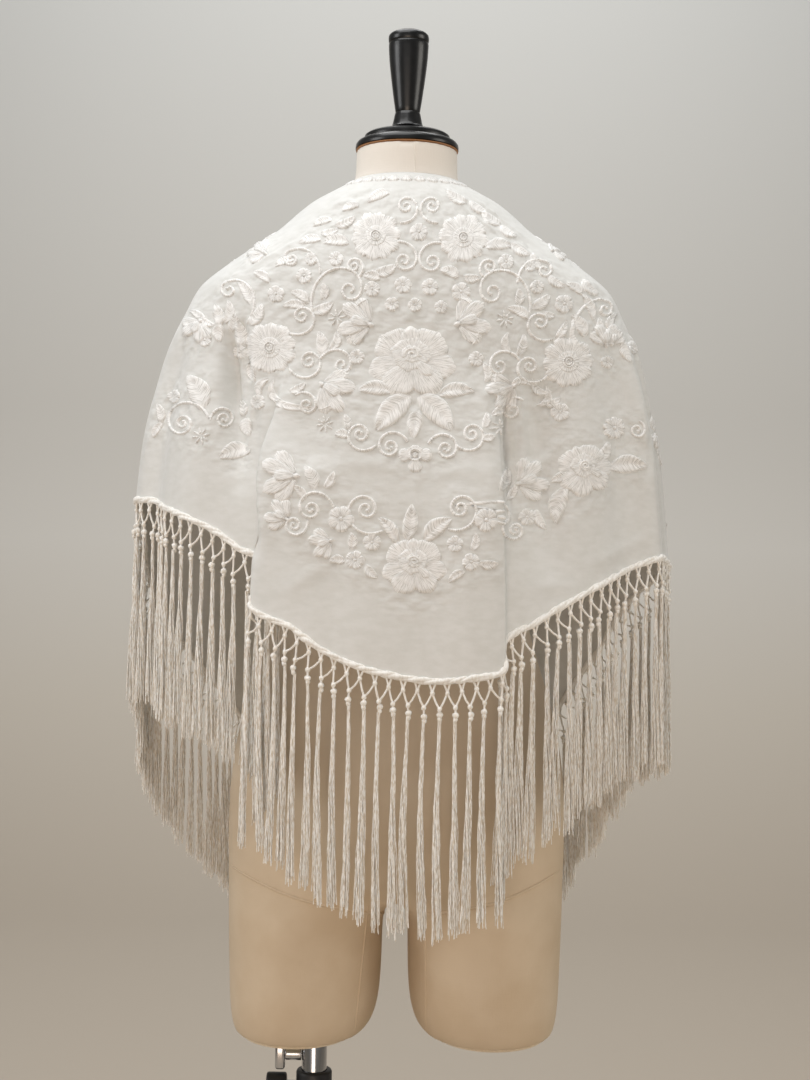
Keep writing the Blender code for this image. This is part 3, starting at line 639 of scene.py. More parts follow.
class Surface:
    """The outer side of a mesh, on which flat work is laid."""

    CLEARANCE = 0.030
    SMOOTHING = 0.012
    LEAST_FACING = 0.5
    SEARCH_PIXELS = 40

    def __init__(self, mesh: Mesh) -> None:
        places = [vert.co.copy() for vert in mesh.vertices]
        self.tree = BVHTree.FromPolygons(places, [tuple(face.vertices) for face in mesh.polygons])

    def seat_at(self, point: Vector) -> Seat:
        """Seat at the surface's nearest place to a point, facing the way its neighbourhood does."""
        origin = self.tree.find_nearest(point)[0]
        outward = Vector()
        for _, normal, _, _ in self.tree.find_nearest_range(origin, self.SMOOTHING):
            outward += normal
        outward.normalize()
        up = (UP - outward * outward.z).normalized()
        return Seat(origin, up.cross(outward), up, outward, -outward)

    def seat_seen(self, view: PhotoView, across: float, down: float) -> Seat:
        """Seat where the photograph shows a place of the surface, or just inside its outline."""
        for step in range(self.SEARCH_PIXELS):
            for side in (-1, 1):
                start, sight = view.ray(across + side * step, down)
                hit = self.tree.ray_cast(start, sight)[0]
                if hit is not None:
                    return self.facing(self.seat_at(hit), view, sight)
        raise ValueError(f"nothing of the surface lies near pixel {across}, {down}")

    def facing(self, seat: Seat, view: PhotoView, sight: Vector) -> Seat:
        """The seat with its right and up slanted until the photograph shows them square."""
        slant = min(sight.dot(seat.outward), -self.LEAST_FACING)
        aim = sight if sight.dot(seat.outward) < -self.LEAST_FACING else -seat.outward
        sides = []
        for axis in view.matrix.to_3x3().transposed().row[:2]:
            side = axis - sight * (axis.dot(seat.outward) / slant)
            sides.append(side - seat.outward * side.dot(seat.outward))
        return Seat(seat.origin, *sides, seat.outward, aim)

    def lay(self, seat: Seat, a: float, b: float, lift: float) -> Vector:
        """Point above the surface at flat coordinates from a seat."""
        place = seat.origin + seat.right * a + seat.up * b
        hit = self.tree.ray_cast(place - seat.aim * self.CLEARANCE, seat.aim, 2.5 * self.CLEARANCE)[0]
        if hit is None:
            hit = self.tree.find_nearest(place)[0]
        return hit + seat.outward * lift


class Crease(NamedTuple):
    """A crease seen in the photograph: a ridge if raised is positive, a trough if negative."""

    from_across: float
    from_down: float
    to_across: float
    to_down: float
    width_mm: float
    raised_mm: float


class HiddenCrease(NamedTuple):
    """A crease on a side that the photograph doesn't show, by angle and height."""

    from_angle: float
    from_height: float
    to_angle: float
    to_height: float
    width_mm: float
    raised_mm: float


CREASES = table(
    Crease,
    (236, 326, 252, 420, 4.0, 3.5), (229, 334, 246, 415, 4.0, -3.0), (241, 318, 248, 402, 5.0, -12.0),
    (226, 334, 232, 412, 5.5, -9.0), (233, 330, 240, 406, 4.0, 3.5), (190, 316, 176, 520, 18.0, 8.0),
    (228, 316, 240, 480, 12.0, -16.0), (251, 388, 254, 550, 5.5, -13.0), (266, 396, 263, 540, 6.0, 5.0),
    (300, 400, 318, 470, 22.0, -7.0), (541, 368, 552, 590, 24.0, -15.0), (512, 380, 516, 560, 7.0, -6.0),
    (243, 352, 256, 372, 3.0, 2.0), (236, 362, 252, 380, 3.0, -1.8), (188, 320, 168, 520, 6.0, 3.0),
    (178, 330, 158, 520, 6.0, -2.5), (234, 420, 226, 550, 10.0, -2.0), (258, 380, 262, 600, 5.0, 1.5),
    (274, 400, 277, 610, 9.0, -2.2), (300, 430, 296, 640, 13.0, 2.4), (330, 470, 336, 660, 14.0, -2.4),
    (455, 480, 470, 680, 15.0, 2.4), (484, 372, 494, 560, 7.0, 3.0), (506, 372, 516, 520, 6.5, -10.0),
    (517, 374, 527, 470, 5.0, 3.0), (506, 400, 514, 640, 7.0, -3.5), (530, 430, 542, 640, 11.0, 2.6),
    (612, 340, 640, 560, 12.0, -2.0), (628, 332, 650, 420, 5.0, 4.2), (638, 350, 650, 470, 5.0, -4.4),
    (590, 430, 600, 590, 12.0, 1.4), (330, 208, 352, 199, 2.5, 1.3), (338, 214, 362, 204, 2.5, 1.2),
    (322, 232, 358, 216, 2.0, 1.2), (452, 200, 500, 236, 2.2, 1.5), (472, 198, 528, 240, 2.2, 1.6),
    (500, 232, 560, 276, 2.6, 1.5), (250, 268, 300, 240, 2.6, 1.3), (335, 352, 372, 350, 2.2, 1.4),
    (342, 374, 372, 378, 2.2, 1.5), (452, 352, 496, 340, 2.4, 1.4), (330, 400, 372, 408, 2.8, 1.4),
    (456, 408, 494, 396, 2.8, 1.5), (340, 462, 400, 468, 4.0, 1.3), (430, 474, 500, 470, 4.5, 1.3),
    (415, 480, 414, 505, 3.0, 0.8), (560, 440, 540, 480, 5.0, 1.8), (590, 566, 650, 536, 7.0, 1.6),
    (272, 600, 340, 556, 7.0, 1.5),
)
HIDDEN_CREASES = table(
    HiddenCrease,
    (-96, 1.32, -100, 1.10, 8.0, 2.5), (-118, 1.33, -124, 0.98, 8.0, 3.0),
    (-139, 1.36, -142, 0.90, 7.0, -2.5), (-156, 1.38, -157, 0.84, 6.0, 2.0),
    (92, 1.32, 96, 1.06, 8.0, -2.5), (110, 1.33, 114, 1.02, 8.0, 2.5),
    (127, 1.36, 130, 0.96, 7.0, -2.5), (143, 1.38, 146, 0.88, 6.0, 2.5),
    (157, 1.38, 158, 0.83, 6.0, -1.5), (-105, 1.34, -150, 1.22, 9.0, 1.5),
    (105, 1.34, 150, 1.20, 9.0, 1.5),
)


@dataclass(frozen=True)
class Drape:
    """How the cloth lies round the figure: where its outer side is, and where its edges are."""

    top_edge: float = 1.4550
    profile_samples: int = 60
    side_angle: float = 90.0
    steepest_edge: float = 0.985

    def point(self, angle: float, height: float) -> Vector:
        """Point on the outer side of the cloth, before its creases."""
        point, outward, along = point_on_ring(ring_at(CLOTH_RINGS, height), angle)
        out, sideways = 0.0, 0.0
        for fold in FOLDS:
            q = (angle - fold.angle) / fold.half_spread
            if abs(q) < 1:
                grown = smooth((fold.start - height) / (fold.start - fold.full))
                out += fold.depth * grown * 0.5 * (1 + math.cos(math.pi * q))
        for pleat in PLEATS:
            grown = smooth((pleat.start - height) / (pleat.start - pleat.full))
            q = min(max((angle - pleat.angle) / pleat.half_spread, -1.0), 1.0)
            inside = (angle - pleat.angle) * pleat.raised_side
            raised = smooth(0.5 + 0.5 * q * pleat.raised_side) * (1 - smooth(inside / pleat.reach))
            out += pleat.set_back * grown * raised
            sideways -= pleat.overlap * grown * math.sin(math.pi * q)
        return point + outward * out + along * sideways

    def front_edge_angle(self, height: float) -> float:
        """Angle of the straight front edge at one height."""
        half_gap = read_table(FRONT_OPENING, "half_gap", height)
        half_width = read_table(CLOTH_RINGS, "half_width", height)
        return 180 - math.degrees(math.asin(min(half_gap / half_width, self.steepest_edge)))

    def place_angle(self, place: float, height: float) -> float:
        """Angle of a column at a height: -90 to 90 is the back, past that each front, to 180."""
        if abs(place) <= self.side_angle:
            return place
        share = (abs(place) - self.side_angle) / self.side_angle
        reach = share * (self.front_edge_angle(height) - self.side_angle)
        return math.copysign(self.side_angle + reach, place)

    def column(self, place: float, rows: int) -> list[Vector]:
        """Evenly spaced points of one column, from the top edge to the hem."""
        tip = abs(HEM[0].angle if place < 0 else HEM[-1].angle)
        past = max(abs(place) - self.side_angle, 0) / self.side_angle * (tip - self.side_angle)
        angle = math.copysign(min(abs(place), self.side_angle) + past, place)
        low = read_table(HEM, "height", angle)
        heights = [self.top_edge + (low - self.top_edge) * share for share in shares(self.profile_samples)]
        lengths = lengths_along([self.point(self.place_angle(place, height), height) for height in heights])
        found = np.interp(np.linspace(0.0, lengths[-1], rows + 1), lengths, heights)
        return [self.point(self.place_angle(place, height), height) for height in found]


@dataclass
class ShawlCloth:
    """The shawl's one panel of silk, draped, creased and puckered round its embroidery."""

    drape: Drape
    view: PhotoView
    finish: Material
    back_columns: int = 284
    front_columns: int = 40
    rows: int = 128
    thickness: float = 0.0008
    pucker_mm: float = 1.7
    pucker_size_mm: float = 9.5
    pucker_squash: float = 1.9
    pucker_reach: float = 0.015
    row_pitch: float = 0.004

    def places(self) -> list[float]:
        """Places of the columns, closer together on the back."""
        back = list(np.linspace(-90, 90, self.back_columns + 1))
        front = [90 + 90 * (i + 1) / self.front_columns for i in range(self.front_columns)]
        return [-place for place in reversed(front)] + back + front

    def grid(self) -> BMesh:
        """The cloth's outer side before its creases, with cloth coordinates in metres."""
        places = self.places()
        columns = [self.drape.column(place, self.rows) for place in places]
        across = lengths_along([column[self.rows // 2] for column in columns])
        shape = bmesh.new()
        layer = shape.loops.layers.uv.new("cloth")
        bmesh.ops.create_grid(shape, x_segments=len(places) - 1, y_segments=self.rows, size=1.0)
        flat = {}
        for vert in shape.verts:
            column = round((vert.co.x + 1) / 2 * (len(places) - 1))
            row = round((1 - vert.co.y) / 2 * self.rows)
            vert.co = columns[column][row]
            flat[vert] = (across[column], -row * self.row_pitch)
        for face in shape.faces:
            for loop in face.loops:
                loop[layer].uv = flat[loop.vert]
        shape.normal_update()
        return shape

    def crease_lines(self, surface: Surface) -> list[tuple[Vector, Vector, float, float]]:
        """Both ends, half width and height of each crease, in metres."""
        lines = []
        for crease in CREASES:
            ends = [surface.seat_seen(self.view, *place).origin for place in (crease[:2], crease[2:4])]
            lines.append((*ends, crease.width_mm * MM, crease.raised_mm * MM))
        for crease in HIDDEN_CREASES:
            ends = [self.drape.point(*place) for place in (crease[:2], crease[2:4])]
            lines.append((*ends, crease.width_mm * MM, crease.raised_mm * MM))
        return lines

    def crease(self, shape: BMesh, worked_spots: Sequence[tuple[Vector, float]]) -> None:
        """Raise the creases, and pucker the cloth round each worked spot but not under it."""
        before = mesh_from(shape.copy(), "cloth before creases")
        surface = Surface(before)
        bpy.data.meshes.remove(before)
        points = np.array([vert.co for vert in shape.verts])
        offset = np.zeros(len(points))
        for a, b, width, raised in self.crease_lines(surface):
            start, run = np.array(a), np.array(b - a)
            t = np.clip(((points - start) @ run) / (run @ run), 0, 1)
            away = np.linalg.norm(points - start - t[:, None] * run, axis=1) / width
            offset += raised * np.exp(-away * away) * np.sin(np.pi * np.clip(t, 0.02, 0.98)) ** 0.6
        worked = np.zeros(len(points))
        calm = np.ones(len(points))
        for middle, reach in worked_spots:
            away = np.linalg.norm(points - np.array(middle), axis=1)
            worked = np.maximum(worked, np.exp(-(((away - reach) / self.pucker_reach) ** 2)))
            calm = np.minimum(calm, np.clip(away / reach, 0.15, 1) ** 2)
        size = 1 / (self.pucker_size_mm * MM)
        gathered = shape.verts.layers.float.new("gathered")
        for i, vert in enumerate(shape.verts):
            place = Vector((vert.co.x * size, vert.co.y * size, vert.co.z * size * self.pucker_squash))
            pucker = (noise.fractal(place, 1.0, 2.0, 3) + 0.2) * self.pucker_mm * MM
            vert[gathered] = worked[i] * calm[i]
            vert.co += vert.normal * (offset[i] + pucker * (0.02 + vert[gathered]))

    def build(self, worked_spots: Sequence[tuple[Vector, float]]) -> Thing:
        """Make the cloth, still without its thickness, from the middle and reach of each motif."""
        shape = self.grid()
        self.crease(shape, worked_spots)
        return piece_from(shape, "silk_panel", self.finish, "shawl_cloth")

    def hem_points(self, thing: Thing) -> list[Vector]:
        """The hem's points from the left tip to the right one."""
        return [vert.co.copy() for vert in thing.data.vertices[: len(self.places())]]

    def thicken(self, thing: Thing) -> None:
        """Give the cloth its thickness, inwards."""
        wall = thing.modifiers.new("thickness", "SOLIDIFY")
        wall.thickness = self.thickness
        wall.offset = -1.0


class Needlework:
    """One mesh of padded satin stitch, laid patch by patch on the cloth.

    Patches are given as functions of u in -1..1 across and v in 0..1 along: their form is a flat place and
    a lift, and their stitches are metres across and along the threads.
    """

    SUNK = -0.0004

    def __init__(self, name: str, surface: Surface) -> None:
        self.name = name
        self.surface = surface
        self.shape = bmesh.new()
        self.thread = self.shape.verts.layers.float_vector.new("thread")
        self.tone = random.Random(name)

    def patch(self, seat: Seat, form: Form, stitches: Stitches, columns: int, rows: int) -> None:
        """Lay one patch on a seat, with as many faces across and along."""
        grid = bmesh.ops.create_grid(self.shape, x_segments=columns, y_segments=rows, size=1.0)
        shift = self.tone.uniform(0, 9)
        for vert in grid["verts"]:
            u, v = vert.co.x, 0.5 + 0.5 * vert.co.y
            vert.co = self.surface.lay(seat, *form(u, v))
            vert[self.thread] = Vector((*stitches(u, v), shift))

    def padded(
        self, centre: Pair, turn: float, across: float, along: float, top: float, rim: float
    ) -> Triple:
        """Flat place and lift of a point on padding that is turned about a centre and sinks at its rim."""
        ahead = around(1.0, turn)
        a = centre[0] + ahead[0] * along + ahead[1] * across
        b = centre[1] + ahead[1] * along - ahead[0] * across
        return a, b, self.SUNK + (top - self.SUNK) * rim

    def petal(
        self,
        seat: Seat,
        centre: Pair,
        turn: float,
        root: float,
        reach: float,
        half_width: float,
        lift: float,
        base: float = 0.0,
        ruffle: float = 0.0,
        waves: int = 0,
        fineness: int = 6,
    ) -> None:
        """Lay a petal with radial stitches.

        Args:
            seat: The flower's seat.
            centre: The flower's centre from the seat.
            turn: Direction of the petal in degrees, 0 to the right and 90 up.
            root: Distance of its inner end from the centre.
            reach: Distance of its outer edge from the centre.
            half_width: Half of its greatest width.
            lift: Height of its padding.
            base: Height that it starts from, over other petals.
            ruffle: Depth of the waves along its outer edge.
            waves: How many waves that edge has.
            fineness: Faces across and along.
        """

        def outline(u: float, v: float) -> Pair:
            width = half_width * (0.30 + 0.70 * math.sin(math.pi * min(v * 0.72, 0.5))) * (1 - 0.28 * v**6)
            along = root + (reach - root) * v * (1 - 0.24 * u * u * v)
            if waves:
                along += ruffle * v**3 * math.cos(waves * math.pi * u)
            return width * math.sin(0.5 * math.pi * u), along

        def form(u: float, v: float) -> Triple:
            rim = smooth(min(1 - abs(u), (1 - v) * 2.2, v * 3 + 0.15) * 3.2)
            top = base + lift * (0.78 + 0.22 * math.cos(0.5 * math.pi * u))
            return self.padded(centre, turn, *outline(u, v), top, rim)

        def stitches(u: float, v: float) -> Pair:
            across, along = outline(u, v)
            return across / max(along / reach, 0.3), along

        self.patch(seat, form, stitches, fineness, fineness)

    def leaf(
        self,
        seat: Seat,
        centre: Pair,
        turn: float,
        length: float,
        half_width: float,
        lift: float,
        bend: float = 0.12,
        base: float = 0.0,
        veined: bool = True,
        fineness: int = 8,
    ) -> None:
        """Lay a leaf with slanted stitches on each side of its midrib.

        Args:
            seat: The motif's seat.
            centre: The leaf's middle from the seat.
            turn: Direction of its tip in degrees.
            length: From its stalk to its tip.
            half_width: Half of its greatest width.
            lift: Height of its padding.
            bend: Sideways bow as a share of its length.
            base: Height that it starts from.
            veined: Whether a midrib parts the two halves.
            fineness: Faces across; it has a half more along.
        """

        def form(u: float, v: float) -> Triple:
            width = half_width * math.sin(math.pi * (0.03 + 0.95 * v) ** 0.85) ** 0.8
            across = width * math.sin(0.5 * math.pi * u) + bend * length * (4 * v * (1 - v) - 0.5)
            rim = smooth(min((1 - abs(u)) * 3.0, 0.25 + 5 * v, 0.25 + 5 * (1 - v)))
            vein = 0.65 * lift * math.exp(-((u / 0.16) ** 2)) if veined else 0.0
            return self.padded(centre, turn, across, length * (v - 0.5), base + lift - vein, rim)

        def stitches(u: float, v: float) -> Pair:
            return length * v - 0.8 * abs(u) * half_width, abs(u) * half_width * 1.3

        self.patch(seat, form, stitches, fineness, fineness + fineness // 2)

    def ridge(self, seat: Seat, path: Sequence[Pair], radius: float, base: float = 0.0) -> None:
        """Lay a rounded cord of a radius along an evenly spaced flat path, stitched across."""
        steps = len(path) - 1
        pitch = math.dist(path[0], path[1])

        def form(u: float, v: float) -> Triple:
            i = round(v * steps)
            low, high = path[max(i - 1, 0)], path[min(i + 1, steps)]
            run = math.dist(low, high) or 1.0
            side = ((high[1] - low[1]) / run, -(high[0] - low[0]) / run)
            taper = min(1.0, 0.55 + 0.25 * min(i, steps - i))
            swing = 0.5 * math.pi * u
            across = radius * taper * math.sin(swing)
            lift = base + radius * taper * (1.35 * math.cos(swing) - 0.25)
            return path[i][0] + side[0] * across, path[i][1] + side[1] * across, lift

        def stitches(u: float, v: float) -> Pair:
            return v * steps * pitch, u * radius

        self.patch(seat, form, stitches, 6, steps)

    def boss(self, seat: Seat, centre: Pair, radius: float, lift: float) -> None:
        """Lay a round padded knot."""

        def form(u: float, v: float) -> Triple:
            share = math.sin(0.5 * math.pi * v)
            height = self.SUNK + (lift - self.SUNK) * math.sqrt(max(0.0, 1 - share * share))
            a, b = around(radius * share, 180 * u)
            return centre[0] + a, centre[1] - b, height

        def stitches(u: float, v: float) -> Pair:
            return u * radius * 2, v * radius

        self.patch(seat, form, stitches, 10, 4)

    def circle(self, seat: Seat, centre: Pair, radius: float, cord: float, base: float) -> None:
        """Lay a ring of cord."""
        turns = [around(radius, 360 * share) for share in shares(20)]
        self.ridge(seat, [(centre[0] + a, centre[1] + b) for a, b in turns], cord, base)

    def build(self, finish: Material) -> Thing:
        """Close the seams between a patch's own ends and make the piece."""
        bmesh.ops.remove_doubles(self.shape, verts=self.shape.verts, dist=SAME_PLACE)
        return piece_from(self.shape, self.name, finish)


@dataclass(frozen=True)
class Motif:
    """Something stitched, at a pixel of the photograph."""

    across: float
    down: float

    def seat(self, surface: Surface, view: PhotoView) -> Seat:
        """Its seat on the cloth."""
        return surface.seat_seen(view, self.across, self.down)

    def stitch(self, work: Needlework, seat: Seat) -> None:
        """Lay its patches."""
        raise NotImplementedError

    @property
    def reach(self) -> float:
        """Distance from its middle to its edge, in metres."""
        return 0.5 * getattr(self, "width_mm", 16.0) * MM


@dataclass(frozen=True)
class SmallFlower(Motif):
    """A small flower of round petals about a ringed eye."""

    width_mm: float = 17.0
    turn: float = 90.0
    petals: int = 5
    height_mm: float = 1.3

    def stitch(self, work: Needlework, seat: Seat) -> None:
        """Lay the petals, then the eye."""
        radius, lift = self.reach, self.height_mm * MM
        half_width = radius * math.sin(math.pi / self.petals) * 0.86
        for i in range(self.petals):
            turn = self.turn + 360 * i / self.petals
            work.petal(seat, (0, 0), turn, 0.12 * radius, radius, half_width, lift)
        work.boss(seat, (0, 0), 0.20 * radius, 1.35 * lift)


@dataclass(frozen=True)
class OpenFlower(Motif):
    """A wide open flower: a toothed outer round of petals, a smaller inner one and a corded button."""

    width_mm: float = 47.0
    petals: int = 10
    turn: float = 8.0
    teeth_mm: float = 0.8

    def stitch(self, work: Needlework, seat: Seat) -> None:
        """Lay the outer petals, the inner ones and the button."""
        radius, wedge = self.reach, math.sin(math.pi / self.petals)
        inner = 0.44 * radius
        for i in range(self.petals):
            turn = self.turn + 360 * i / self.petals
            reach = radius * (1 + 0.03 * math.sin(2.3 * i))
            width = radius * wedge * 1.02
            teeth = self.teeth_mm * MM
            work.petal(seat, (0, 0), turn, 0.18 * radius, reach, width, 1.3 * MM, 0.0, teeth, 3, 10)
        for i in range(self.petals):
            turn = self.turn + 360 * (i + 0.5) / self.petals
            work.petal(seat, (0, 0), turn, 0.16 * radius, inner, inner * wedge * 1.15, 0.4 * MM, 1.1 * MM)
        work.boss(seat, (0, 0), 0.24 * radius, 1.7 * MM)
        work.circle(seat, (0, 0), 0.20 * radius, 0.7 * MM, 1.5 * MM)
        work.circle(seat, (0, 0), 0.11 * radius, 0.6 * MM, 1.7 * MM)
        work.boss(seat, (0, 0), 0.05 * radius, 2.2 * MM)


class RosePetal(NamedTuple):
    """A petal of a rose: direction, start, end, half width and how high its root sits, by the radius."""

    turn: float
    root: float
    reach: float
    half_width: float
    up: float
    base_mm: float
    lift_mm: float


ROSE_PETALS = table(
    RosePetal,
    (136, 0.10, 0.96, 0.52, 0.02, 0.0, 1.3),
    (47, 0.10, 0.95, 0.50, 0.02, 0.2, 1.5),
    (199, 0.15, 1.02, 0.36, 0.02, 0.3, 1.2),
    (-14, 0.15, 1.02, 0.36, 0.02, 0.3, 1.2),
    (92, 0.10, 0.88, 0.26, 0.04, 0.8, 1.1),
    (241, 0.10, 1.00, 0.42, 0.00, 0.7, 1.3),
    (303, 0.10, 1.02, 0.38, 0.00, 0.9, 1.3),
    (118, 0.00, 0.50, 0.42, 0.14, 1.1, 1.0),
    (28, 0.00, 0.44, 0.34, 0.14, 1.4, 1.0),
    (212, 0.00, 0.44, 0.38, 0.12, 1.6, 0.9),
    (300, 0.00, 0.40, 0.30, 0.12, 1.8, 0.9),
    (312, 0.16, 0.70, 0.15, 0.10, 2.0, 0.9),
    (150, 0.00, 0.26, 0.22, 0.16, 2.1, 0.7),
    (30, 0.00, 0.24, 0.20, 0.16, 2.3, 0.7),
    (270, 0.00, 0.24, 0.20, 0.16, 2.4, 0.7),
)


@dataclass(frozen=True)
class Rose(Motif):
    """A full rose: three rounds of overlapping petals about a coiled heart."""

    width_mm: float = 80.0
    turn: float = 0.0
    squash: float = 0.88
    heart_up: float = 0.16
    heart_turns: float = 1.6

    def stitch(self, work: Needlework, seat: Seat) -> None:
        """Lay the petals layer by layer, then the coil."""
        radius = self.reach
        flat = replace(seat, up=seat.up * self.squash)
        for petal in ROSE_PETALS:
            sizes = (petal.root * radius, petal.reach * radius, petal.half_width * radius)
            heights = (petal.lift_mm * MM, petal.base_mm * MM)
            centre = (0, petal.up * radius)
            work.petal(flat, centre, petal.turn + self.turn, *sizes, *heights, 0.03 * radius, 2, 10)
        coil = []
        for share in shares(36):
            a, b = around(radius * (0.03 + 0.15 * share), 360 * self.heart_turns * share)
            coil.append((a, b + self.heart_up * radius))
        work.ridge(flat, coil, 0.8 * MM, 2.6 * MM)


@dataclass(frozen=True)
class Leaf(Motif):
    """A leaf about its middle."""

    length_mm: float = 22.0
    width_mm: float = 10.0
    turn: float = 90.0
    bend: float = 0.10
    height_mm: float = 1.2

    def stitch(self, work: Needlework, seat: Seat) -> None:
        """Lay the leaf."""
        sizes = (self.length_mm * MM, self.reach, self.height_mm * MM)
        fineness = 10 if self.length_mm > 28 else 8
        work.leaf(seat, (0, 0), self.turn, *sizes, self.bend, fineness=fineness)


@dataclass(frozen=True)
class Star(Motif):
    """An eight-armed star of single padded bars."""

    width_mm: float = 17.0
    arms: int = 8
    tilt: float = 11.0

    def stitch(self, work: Needlework, seat: Seat) -> None:
        """Lay the arms."""
        length = 0.88 * self.reach
        for i in range(self.arms):
            turn = 360 * i / self.arms + self.tilt
            centre = around(0.667 * length, turn)
            work.leaf(seat, centre, turn, length, 0.9 * MM, 1.2 * MM, 0.0, veined=False, fineness=4)


@dataclass(frozen=True)
class Scroll(Motif):
    """A corded scroll: a coil that opens into a long sweep. A hand of 1 turns it anticlockwise outwards."""

    radius_mm: float = 8.0
    hand: int = 1
    opens: float = 0.0
    sweep: float = 200.0
    reach_mm: float = 20.0
    coil_turns: float = 1.15
    cord_mm: float = 1.35
    spacing_mm: float = 1.3

    def path(self) -> list[Pair]:
        """The cord's flat path, from the coil's middle outwards, evenly spaced."""
        places = []
        for share in shares(40):
            angle = self.opens - self.hand * 360 * self.coil_turns * (1 - share)
            places.append(around(self.radius_mm * MM * (0.22 + 0.78 * share), angle))
        for share in shares(40)[1:]:
            out = (self.radius_mm + (self.reach_mm - self.radius_mm) * share**1.5) * MM
            places.append(around(out, self.opens + self.hand * self.sweep * share))
        lengths = lengths_along(places)
        count = max(24, round(lengths[-1] / (self.spacing_mm * MM)))
        wanted = np.linspace(0.0, lengths[-1], count + 1)
        across, up = (np.interp(wanted, lengths, column) for column in zip(*places))
        return list(zip(across.tolist(), up.tolist()))

    def stitch(self, work: Needlework, seat: Seat) -> None:
        """Lay the cord and the knot in the coil's middle."""
        path = self.path()
        work.ridge(seat, path, self.cord_mm * MM)
        work.boss(seat, path[0], 1.3 * self.cord_mm * MM, 1.6 * self.cord_mm * MM)


@dataclass(frozen=True)
class Blossom(Motif):
    """A half-open blossom seen from the side: spread petals from one root, with curled stamens."""

    width_mm: float = 34.0
    turn: float = 90.0
    stamens: bool = True

    def stitch(self, work: Needlework, seat: Seat) -> None:
        """Lay the outer petals, the folded middle one and the stamens."""
        size = self.width_mm * MM
        root = around(-0.42 * size, self.turn)
        start, width, ruffle = 0.10 * size, 0.22 * size, 0.02 * size
        for swing, reach, base in ((-52, 0.82, 0.0), (52, 0.82, 0.0), (-22, 0.96, 0.7), (24, 0.94, 0.9)):
            turn = self.turn + swing
            work.petal(seat, root, turn, start, reach * size, width, 1.6 * MM, base * MM, ruffle, 3, 8)
        work.petal(seat, root, self.turn, 0.05 * size, 0.62 * size, 0.17 * size, 1.3 * MM, 1.9 * MM)
        for hand in (-1, 1) if self.stamens else ():
            path = []
            for share in shares(14):
                turn = self.turn + hand * math.degrees(0.12 + 1.1 * share * share)
                a, b = around(size * (0.30 + 0.62 * share - 0.22 * share * share), turn)
                path.append((root[0] + a, root[1] + b))
            work.ridge(seat, path, 0.6 * MM, 1.5 * MM)
        work.leaf(seat, root, self.turn + 180, 0.20 * size, 0.07 * size, 1.6 * MM, 0.0, 0.6 * MM, False, 4)


@dataclass(frozen=True)
class DropFlower(Motif):
    """A hanging flower of three petals below a ringed eye."""

    width_mm: float = 31.0

    def stitch(self, work: Needlework, seat: Seat) -> None:
        """Lay the petals and the eye."""
        radius = self.reach
        for turn, reach in ((180, 1.0), (0, 1.0), (270, 1.05), (112, 0.55), (68, 0.55)):
            work.petal(seat, (0, 0), turn, 0.2 * radius, reach * radius, 0.42 * radius, 1.6 * MM, fineness=8)
        work.circle(seat, (0, 0), 0.34 * radius, 0.9 * MM, 1.2 * MM)
        work.boss(seat, (0, 0), 0.20 * radius, 1.4 * MM)


# A motif's numbers are its pixel across and down, then its own sizes in their order above.
ROSES = {
    "rose_centre": Rose(412, 361, 82.0, 0.0, 0.86),
    "rose_low": Rose(414, 566, 60.0, 0.0, 0.92),
    "rose_side": Rose(584, 470, 54.0, 20.0, 0.96),
}

OPEN_FLOWERS = {
    "open_flower_upper_left": OpenFlower(376, 236, 48.0),
    "open_flower_upper_right": OpenFlower(463, 238, 48.0, turn=28.0),
    "open_flower_left": OpenFlower(270, 348, 50.0, turn=15.0),
    "open_flower_right": OpenFlower(568, 362, 50.0, turn=4.0),
}

SMALL_FLOWERS = table(
    SmallFlower,
    (419, 232, 18, 90), (336, 259, 15, 80), (311, 259, 13, 60), (304, 276, 16, 40), (276, 294, 17, 20),
    (372, 289, 16, 95), (403, 285, 17, 90), (392, 304, 14, 60), (415, 305, 14, 100), (430, 287, 17, 85),
    (461, 292, 19, 75), (441, 307, 13, 90), (506, 262, 16, 100), (530, 266, 12, 30), (537, 287, 14, 90),
    (564, 304, 19, 60), (476, 359, 15, 90), (357, 357, 15, 90), (560, 412, 19, 40), (614, 428, 23, 90, 9),
    (341, 519, 25, 60, 5, 1.9), (486, 520, 23, 120, 5, 1.9), (372, 542, 17, 90), (355, 560, 18, 70),
    (455, 544, 16, 90), (471, 562, 17, 110), (527, 517, 17, 30), (176, 397, 15, 90), (258, 402, 15, 50),
    (240, 352, 14, 20), (607, 362, 13, 10), (632, 348, 15, 60), (205, 340, 14, 40),
)

